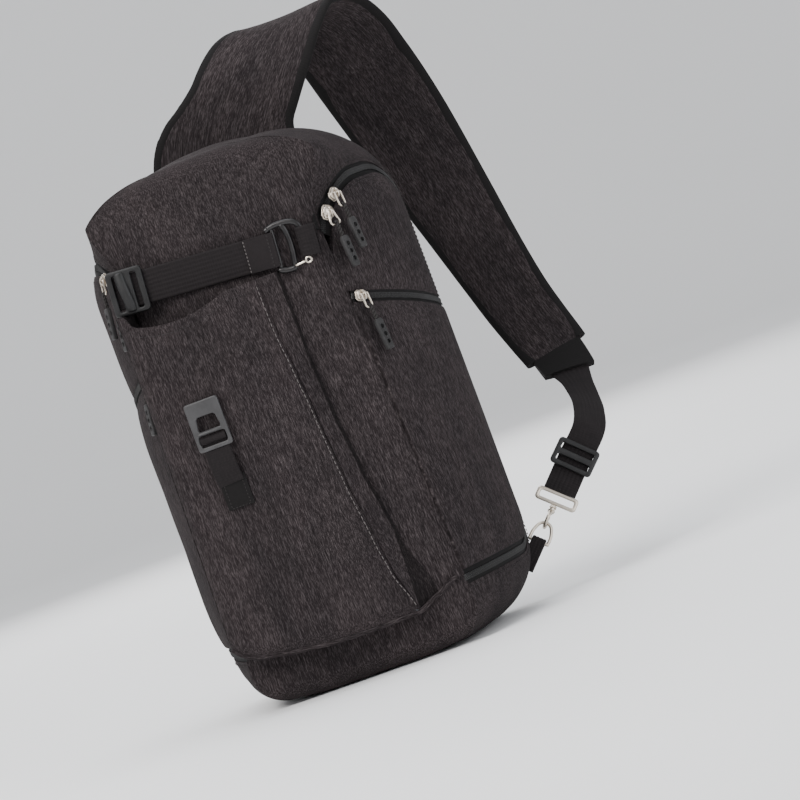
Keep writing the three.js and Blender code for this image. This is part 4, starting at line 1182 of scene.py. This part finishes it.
ribbon("keeperWebbing", hangPath, tops, 20, 1.7, "bag", "keeper_webbing", ribs=7)
patch("keeperPatch", shifted(keeperBase, 2.2, -1.4, -51) @ turnedUp, 20.5, 24, 1.4, "bag", "binding")
edge = [(2.2 + x, -2.2, -51 + z) for x, z in ((-7.3, 11), (-7.3, -11), (7.3, -11), (7.3, 11))]
line = evenly(placed(edge, keeperBase), 1.0)
attach(stitches("keeperStitch", line, [forward] * len(line), "stitchThread", 1.8, 0.7), "bag", "webbing")

# Zip sliders and pulls.
slider = {
    "places": {"door_lower": -53, "door_upper": -44, "pocket": -55},  # Y of each
    "seatLift": 2.8, "pivot": 4.64, "bigger": 1.12,
    "foot": ((-5.2, 2.6), (-3, 4.3), (2.2, 4.5), (4.6, 3.3), (5.4, 0.8)),  # half of its outline
    "dome": ((0, -4.6, 2.0), (0, -3, 3.6), (0, 0, 4.2), (0, 3, 3.7), (0, 4.6, 2.2)),
}
pull = {
    "hang": -0.1, "bail": (3.1, 3.1), "bigBail": (4.6, 1.9), "wire": 0.85,
    "turns": 34, "twist": 0.5, "step": 0.42,
    "knot": ((-0.9, -9.6, 1.6), (-0.8, -8.6, 0.9), (0, -8.3, -0.9), (0.8, -8.6, 0.9), (0.9, -9.6, 1.6)),
    "grip": (
        (-3.3, -11.4), (-2.6, -12), (2.6, -12), (3.3, -11.4), (3.75, 9.4), (2.9, 11.6), (1.9, 12), (-1.9, 12),
        (-2.9, 11.6), (-3.75, 9.4),
    ),
    "gripAt": (0, -32.4, 1.6), "holes": (5.6, -0.3, -6.2), "hole": 1.75, "rim": 2.15,
}
rise = bag["doorTop"] - bag["doorFront"] + bag["zipGap"] / 2
reach = bag["archLength"] + bag["zipGap"] / 2


def archShare(y):
    return min(0, (y - bag["archY"]) / reach)


def zipAt(name):
    y = slider["places"][name]
    if name == "pocket":
        return y, pocketZipZ(y), math.atan(pocketSlope)
    t = archShare(y)
    high = math.sqrt(1 - t * t)
    return y, bag["doorFront"] + rise * high, math.atan(-t * rise / reach / high)


def seatOf(name, sign):
    y, z, lean = zipAt(name)
    out = Vector((12, sideX(y - 6, z) - sideX(y + 6, z), 0)).normalized()
    place = Vector((sideX(y, z), y, z)) + out * slider["seatLift"]
    across = Vector((0, 0, 1)).cross(out)
    if sign < 0:
        place.x, out.x, across = -place.x, -out.x, Vector((across.x, -across.y, 0))
    return standing(place, across, Vector((0, 0, 1)), out), lean * sign


def makeSlider(tag, seat, turned, big):
    size = slider["bigger"] if big else 1.0
    foot = [(x * size, y * size) for x, y in slider["foot"]]
    outline = [(foot[0][0], -foot[0][1])] + foot + [(x, -y) for x, y in foot[:0:-1]]
    cap = [(x * 0.92, y * 0.9) for x, y in outline]
    parts = [plate("sliderFoot", [outline], 1.5, 0.6, "nickel", shifted(turned, z=0.6))]
    parts.append(plate("sliderCap", [cap], 2.6, 1.2, "nickel", shifted(turned, z=2.2)))
    arc = [(0, 3.1 * math.cos(math.pi * k / 8), 2.9 + 3.0 * math.sin(math.pi * k / 8)) for k in range(9)]
    parts.append(bar("sliderBridge", arc, 1.0, 0.8, "nickel", seat, up=Vector((1, 0, 0)), sides=8, taper=1))
    if big:
        up = Vector((0, 0, 1))
        parts.append(bar("sliderDome", slider["dome"], 3.4, 0.45, "nickel", turned, up=up))
    attach(joined("slider_" + tag + "_body", parts), "slider_" + tag, "nickel", "slider_" + tag)


def makePull(tag, seat, big):
    hang = shifted(seat, z=slider["pivot"] + 0.5) @ Matrix.Rotation(pull["hang"], 4, "X")
    wide, top = pull["bigBail"] if big else pull["bail"]
    bail = [(-top, 0.6), (top, 0.6), (wide, -8.6), (wide - 1.2, -10.2), (-wide + 1.2, -10.2), (-wide, -8.6)]
    frameLine = evenly(placed([(x, y, 0) for x, y in bail + bail[:1]], hang), 0.9)[:-1]
    face = (hang.to_3x3() @ Vector((0, 0, 1))).normalized()
    wire = circle(pull["wire"], 8)
    bent = sweep("pullTab_" + tag, stationsAlong(frameLine, face, True), wire, "nickel", loop=True)
    attach(bent, "pull_" + tag, "nickel", "pull_tab_" + tag)
    parts = []
    for start in (0, math.pi):  # two strands turned about each other
        strand = []
        for k in range(pull["turns"]):
            turn = start + k * pull["twist"]
            strand.append((0.95 * math.cos(turn), -9.4 - k * pull["step"], 1.2 + 0.75 * math.sin(turn)))
        parts.append(sweep("cordStrand", stationsAlong(placed(strand, hang)), circle(0.85, 7), "cordThread"))
    knot = smoothPath(placed(pull["knot"], hang), 4)
    parts.append(sweep("cordKnot", stationsAlong(knot), circle(0.8, 7), "cordThread"))
    gripAt = shifted(hang, *pull["gripAt"])
    holes = [[(x, middle + y) for x, y in circle(pull["hole"], 14)] for middle in pull["holes"]]
    parts.append(plate("gripBody", [pull["grip"]] + holes, 3.4, 0.8, "gripRubber", gripAt))
    parts.append(plate("gripCore", [roundedRect(4.6, 21, 1.4)], 0.8, 0.2, "blackPlastic", gripAt))
    for middle in pull["holes"]:
        rim = placed([(x, middle + y, 1.6) for x, y in circle(pull["rim"], 16)], gripAt)
        stations = stationsAlong(rim, face, True)
        parts.append(sweep("gripRim", stations, circle(0.42, 6), "gripRubber", loop=True))
    attach(joined("pullGrip_" + tag, parts), "pull_" + tag, "rubber", "pull_grip_" + tag)


for side, sign in sides:
    for name in slider["places"]:
        seat, lean = seatOf(name, sign)
        tag = name + "_" + side
        makeSlider(tag, seat, seat @ Matrix.Rotation(lean, 4, "Z"), name == "door_lower")
        makePull(tag, seat, name == "door_lower")
print("hardware made")

# Shoulder strap.
strapSamples = [  # the middle of the strap and its direction across, at even steps along it
    ((0, 76.3, 366), (0.997, 0, -0.083)), ((3.1, 76.5, 393.7), (0.947, 0, -0.32)),
    ((15.7, 78.9, 418.4), (0.843, -0.003, -0.537)),
    ((31.9, 83.8, 440.7), (0.796, -0.073, -0.601)), ((48.6, 94.3, 460.5), (0.801, -0.275, -0.532)),
    ((64, 111.9, 475.5), (0.871, -0.424, -0.248)), ((77.6, 135.1, 481.8), (0.878, -0.475, 0.05)),
    ((89.2, 158.5, 472.5), (0.931, -0.3, 0.209)), ((97.7, 176.2, 453), (0.972, -0.121, 0.2)),
    ((103.3, 188.1, 428.3), (0.983, -0.069, 0.171)), ((108.8, 197.5, 402.5), (0.979, -0.064, 0.195)),
    ((114.2, 204.9, 376.1), (0.982, -0.045, 0.184)), ((119.5, 210.6, 349.3), (0.982, -0.034, 0.186)),
    ((125, 214.8, 322.1), (0.979, -0.025, 0.201)), ((130.9, 217.4, 294.9), (0.977, -0.016, 0.212)),
    ((136.8, 218.7, 267.6), (0.976, -0.004, 0.218)), ((143.3, 217.9, 240.4), (0.97, 0.022, 0.243)),
    ((150.7, 213.8, 213.8), (0.956, 0.091, 0.281)), ((159.9, 206.3, 188.5), (0.934, 0.194, 0.301)),
    ((169.6, 195.1, 164.8), (0.926, 0.336, 0.174)), ((177.4, 178.1, 144.1), (0.899, 0.408, -0.156)),
    ((183.2, 154.7, 130), (0.837, 0.367, -0.407)), ((187.2, 129.4, 118.8), (0.8, 0.304, -0.516)),
    ((184.9, 105.9, 104.9), (0.789, 0.043, -0.613)), ((167.3, 94.4, 86.6), (0.74, -0.001, -0.672)),
    ((150.5, 81.8, 68.1), (0.74, -0.001, -0.672)),
]
strap = {
    "fine": 10, "length": 699.3, "across": 26, "edge": (5.4, 3.3), "fill": 0.8,
    "seam": 0.3585, "padEnd": 0.757, "webbingStart": 0.745, "slide": 0.957, "flat": 2.2, "rimBack": 3.2,
}
strapLine = smoothPath([p for p, _ in strapSamples], strap["fine"])
strapAcross = smoothPath([s for _, s in strapSamples], strap["fine"])


def strapStations(start, end, count):
    made = []
    last = len(strapLine) - 1
    for i in range(count + 1):
        t = lerp(start, end, i / count)
        k = min(int(t * last), last - 1)
        place = strapLine[k].lerp(strapLine[k + 1], t * last - k)
        ahead = (strapLine[k + 1] - strapLine[k]).normalized()
        side = strapAcross[k].lerp(strapAcross[k + 1], t * last - k)
        side = (side - ahead * side.dot(ahead)).normalized()
        made.append((t, place, side, ahead.cross(side).normalized()))
    return made


def padWidth(t):
    if t < 0.36:
        return lerp(126, 84, ease((t - 0.03) / 0.08))
    return lerp(84, 54, ease((t - 0.36) / 0.4))


# Foam between two layers of cloth: full in the middle, thin at the bound edges.
def paddedStrap(name, start, end, count, node):
    across, length = strap["across"], strap["length"]
    points, weave, rim = [], [], [[], []]
    for t, place, side, up in strapStations(start, end, count):
        half = padWidth(t) / 2 - strap["flat"]
        for face in (1, -1):
            for i in range(across + 1):
                a = (-1 + 2 * i / across) * face
                fromEnd = min(t - start, end - t) * length
                full = (1 - abs(a) ** 5) ** 0.5 * (0.55 + 0.45 * (1 - math.exp(-fromEnd / 9)))
                ripple = noise.noise(Vector((a * half / 30, t * length / 42, face * 4))) * 0.9
                height = 1.3 + 3.1 * full + ripple * full * 0.6
                points.append(place + side * a * half + up * face * height)
                weave.append((a * half, face * height, t * length))
        for k, a in enumerate((-1, 1)):
            rim[k].append((place + side * a * (half - strap["rimBack"]), side, up))
    ring = 2 * (across + 1)
    faces = gridFaces(count + 1, ring, True) + endFaces(count + 1, ring)
    made = closedMesh(name, points, faces, "cloth", weave, 70)
    attach(made, "bag", "cloth", node)
    wide, tall = strap["edge"]
    bound = [(wide * x, tall * y) for x, y in circle(1, 16)]
    for k in (0, 1):
        attach(sweep(f"{name}Edge{k}", rim[k], bound, "binding", smoothAngle=70), "bag", "cloth")


def binding(name, start, end, count, half, height, full):  # a flat band with round edges across the strap
    turns = [k * math.pi / 12 for k in range(24)]
    band = [(half * clamp(full * math.cos(t), -1, 1), height * math.sin(t)) for t in turns]
    row = [station[1:] for station in strapStations(start, end, count)]
    attach(sweep(name, row, band, "binding", smoothAngle=60), "bag", "cloth")


paddedStrap("shoulderYoke", 0.0, strap["seam"], 110, "shoulder_yoke")
paddedStrap("shoulderPad", strap["seam"], strap["padEnd"], 120, "shoulder_pad")

narrow = ribbed(2, 1.7)
lowerStations = strapStations(strap["webbingStart"], 1.0, 110)
lower = sweep("lowerWebbing", [s[1:] for s in lowerStations], narrow, "webbing", smoothAngle=75)
for i, (t, place, side, _) in enumerate(lowerStations):  # spread each ring to the webbing's width there
    width = lerp(38, webbing["width"], ease((t - 0.76) / 0.06))
    for v in lower.data.vertices[i * len(narrow) : (i + 1) * len(narrow)]:
        v.co += side * (v.co - place * mm).dot(side) * (width / 2 - 1)
attach(lower, "bag", "webbing", "lower_webbing")
binding("padCuff", strap["padEnd"], 0.79, 12, 21.025, 3.4, 1.5)

_, place, side, up = strapStations(strap["slide"], 1, 1)[0]
slideAt = standing(place + up * 3.1, side.cross(up), side, up)
slots = [roundedRect(4.6, 26.4, 1, x, 0) for x in (-4.8, 4.8)]
slide = plate("strapSlide", [roundedRect(22, 33.6, 3)] + slots, 2.6, 0.9, "blackPlastic", slideAt)
attach(slide, "strap_slide", "black_plastic", "strap_slide")
binding("strapSeam", strap["seam"] - 0.005, strap["seam"] + 0.005, 4, 40.5, 2.6, 1.35)  # between yoke and pad

# Snap hook, ring and corner tabs.
hookAxis = Vector((0.601, 0.45, 0.661)).normalized()
snapX = Vector((-0.302, 0.893, -0.333)).normalized()
snapY = Vector((-0.739, 0.001, 0.672)).normalized()
snapCentre = Vector((136.31, 71.09, 52.47))
ringCentre = Vector((130, 66, 45))
snapBase = standing(snapCentre, snapX, snapY, hookAxis)
ringBase = standing(ringCentre, snapY, hookAxis, snapX)

bow = [(6.5 * math.cos(math.radians(a)), 0, 6.5 * math.sin(math.radians(a))) for a in range(60, 361, 12)]
parts = [bar("hook", bow, 1.45, 1, "nickel", snapBase, up=Vector((0, 1, 0)), sides=12, taper=0.8)]
turned = []
collar = ((5.8, 1.2), (6.0, 2.6), (7.6, 3.0), (8.2, 2.2), (9.4, 2.2), (9.8, 2.9), (11.6, 2.6), (12.2, 1.4))
for z, r in collar:
    turned += placed([(x, y, z) for x, y in circle(r, 20)], snapBase)
rows = len(turned) // 20
parts.append(makeMesh("collar", turned, gridFaces(rows, 20, True) + endFaces(rows, 20), "nickel"))
attach(joined("snapHook", parts), "snap_hook", "nickel", "snap_hook")
pivot, tip = Vector((3.25, 0, 5.63)), Vector((6.5, 0, 0))
line = [tuple(pivot.lerp(tip, s)) for s in (0.3, 0.5, 0.68)]
made = bar("hookGate", line, 0.95, 1, "nickel", snapBase, up=Vector((0, 1, 0)), sides=10)
attach(made, "hook_gate", "nickel", "hook_gate")
eyeAt = standing(snapCentre + hookAxis * 17.9, snapY, hookAxis, snapX)
eye = plate("swivelEye", [roundedRect(33.4, 11, 3), roundedRect(27.4, 5.4, 1.5)], 2.6, 1.1, "nickel", eyeAt)
attach(eye, "bag", "nickel", "swivel_eye")
halfRing = [(-7.5, -8, 0), (-7.5, -4, 0), (-7, 0, 0), (-4.5, 6, 0)]
bent = halfRing + [(0, 8, 0)] + [(-x, y, z) for x, y, z in halfRing[::-1]]
straight = [(x, -8, 0) for x in (-8.6, -4, 0, 4, 8.6)]
parts = [bar("ringBow", bent, 1.3, 1, "nickel", ringBase, up=Vector((0, 0, 1)), taper=1)]
parts.append(bar("ringBar", straight, 1.35, 1, "nickel", ringBase, up=Vector((0, 0, 1))))
attach(joined("cornerRing", parts), "corner_ring", "nickel", "corner_ring")


# Webbing out round a bar and back; the bar runs along X.
def foldedTab(name, base, reach, radius, width, node):
    bend = [(0, radius * math.sin(math.pi * k / 6), radius * math.cos(math.pi * k / 6)) for k in range(7)]
    path = [(0, -reach, radius * 0.6), (0, -reach * 0.4, radius * 0.75)] + bend
    path += [(0, -reach * 0.4, -radius * 0.75), (0, -reach, -radius * 0.6)]
    path = smoothPath(placed(path, base), 4)
    sideways = (base.to_3x3() @ Vector((1, 0, 0))).normalized()
    return ribbon(name, path, upsAcross(path, sideways), width, 1.5, "bag", node, ribs=4)


foldedTab("cornerTabRight", shifted(ringBase, y=-8), 24, 2.6, 11, "corner_tab_right")
spareAt = Matrix.Translation((-section(45)["wide"] - 4, 62, 51)) @ Matrix.Rotation(0.35, 4, "Z")
spareTurn = Matrix(((0, -1, 0, 0), (0, 0, -1, 0), (1, 0, 0, 0), (0, 0, 0, 1)))
foldedTab("cornerTabLeft", spareAt @ spareTurn, 14, 1.6, 14, "corner_tab_left")

# Back pads and what is inside.
backPad = {
    "x": 54, "halfWidth": 41, "z": 194, "halfHeight": 158, "corner": 18, "depth": 8.6, "edgeDepth": 1.2,
    "grooves": (-79, 0, 79), "wide": 20, "tall": 84, "fill": 0.7,
}
for side, sign in sides:
    points, weave = [], []
    wide, tall = backPad["wide"], backPad["tall"]
    for face in (1, 0):
        for j in range(tall + 1):
            z = backPad["halfHeight"] * (-1 + 2 * j / tall)
            half = backPad["halfWidth"] - cornerInset(backPad["halfHeight"] - abs(z), backPad["corner"])
            for i in range(wide + 1):
                x = half * (-1 + 2 * i / wide)
                near = min(half - abs(x), backPad["halfHeight"] - abs(z))
                full = 1 - math.exp(-near / 6)
                groove = sum(math.exp(-(((z - g) / 4.5) ** 2)) for g in backPad["grooves"])
                depth = lerp(backPad["edgeDepth"], backPad["depth"], full * (1 - 0.6 * groove))
                out = halfDepth + (depth if face else -0.2)
                points.append((sign * (backPad["x"] + x), out, backPad["z"] + z))
                weave.append((x, depth * face, z))
    size = (wide + 1) * (tall + 1)
    faces = gridFaces(tall + 1, wide + 1) + gridFaces(tall + 1, wide + 1, offset=size, flip=True)
    border = [j * (wide + 1) for j in range(tall + 1)] + [tall * (wide + 1) + i for i in range(1, wide + 1)]
    border += [j * (wide + 1) + wide for j in range(tall - 1, -1, -1)] + list(range(wide - 1, 0, -1))
    faces += [[a, b, b + size, a + size] for a, b in zip(border, border[1:] + border[:1])]
    made = closedMesh("backPad_" + side, points, faces, "airMesh", weave, 60)
    attach(made, "bag", "mesh", "back_pad_" + side)
    rimLine = [Vector(points[i]) + Vector((0, 0.4, 0)) for i in border[::2]]
    stations = stationsAlong(rimLine, Vector((0, 1, 0)), True)
    edge = sweep("backPadEdge_" + side, stations, circle(1.7, 8), "binding", loop=True)
    attach(edge, "bag", "mesh")

finishOf = {
    "back_stiffener": "board", "base_board": "board", "divider_lower": "lining", "divider_upper": "lining",
}
for name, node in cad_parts.items():  # the solids that show keep their form and get these surfaces
    chosen = finishes[finishOf.get(name, "cloth")]
    if not node.data.materials:
        node.data.materials.append(chosen)
    for i in range(len(node.data.materials)):
        node.data.materials[i] = chosen
print("strap, corner and back made")

# Floor.
studio = {  # in metres
    "flat": 3.4, "rise": 1.6, "gap": 0.0006, "inner": 1.2, "around": 96, "steps": 14, "steep": 80,
}
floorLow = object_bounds()[0][2] - studio["gap"]
rounds = [(studio["inner"], 0.0), (studio["flat"], 0.0)]
for k in range(1, studio["steps"] + 1):
    turn = math.radians(studio["steep"]) * k / studio["steps"]
    rounds.append((studio["flat"] + studio["rise"] * math.sin(turn), studio["rise"] * (1 - math.cos(turn))))
floorPoints = [Vector((0, 0, floorLow / mm))]
for r, z in rounds:
    floorPoints += [Vector((x, y, z + floorLow)) / mm for x, y in circle(r, studio["around"])]
floorFaces = [[0, 1 + k, 1 + (k + 1) % studio["around"]] for k in range(studio["around"])]
floorFaces += gridFaces(len(rounds), studio["around"], True, offset=1)
makeMesh("floor", floorPoints, floorFaces, "floorCloth", smoothAngle=60)
print("floor made")
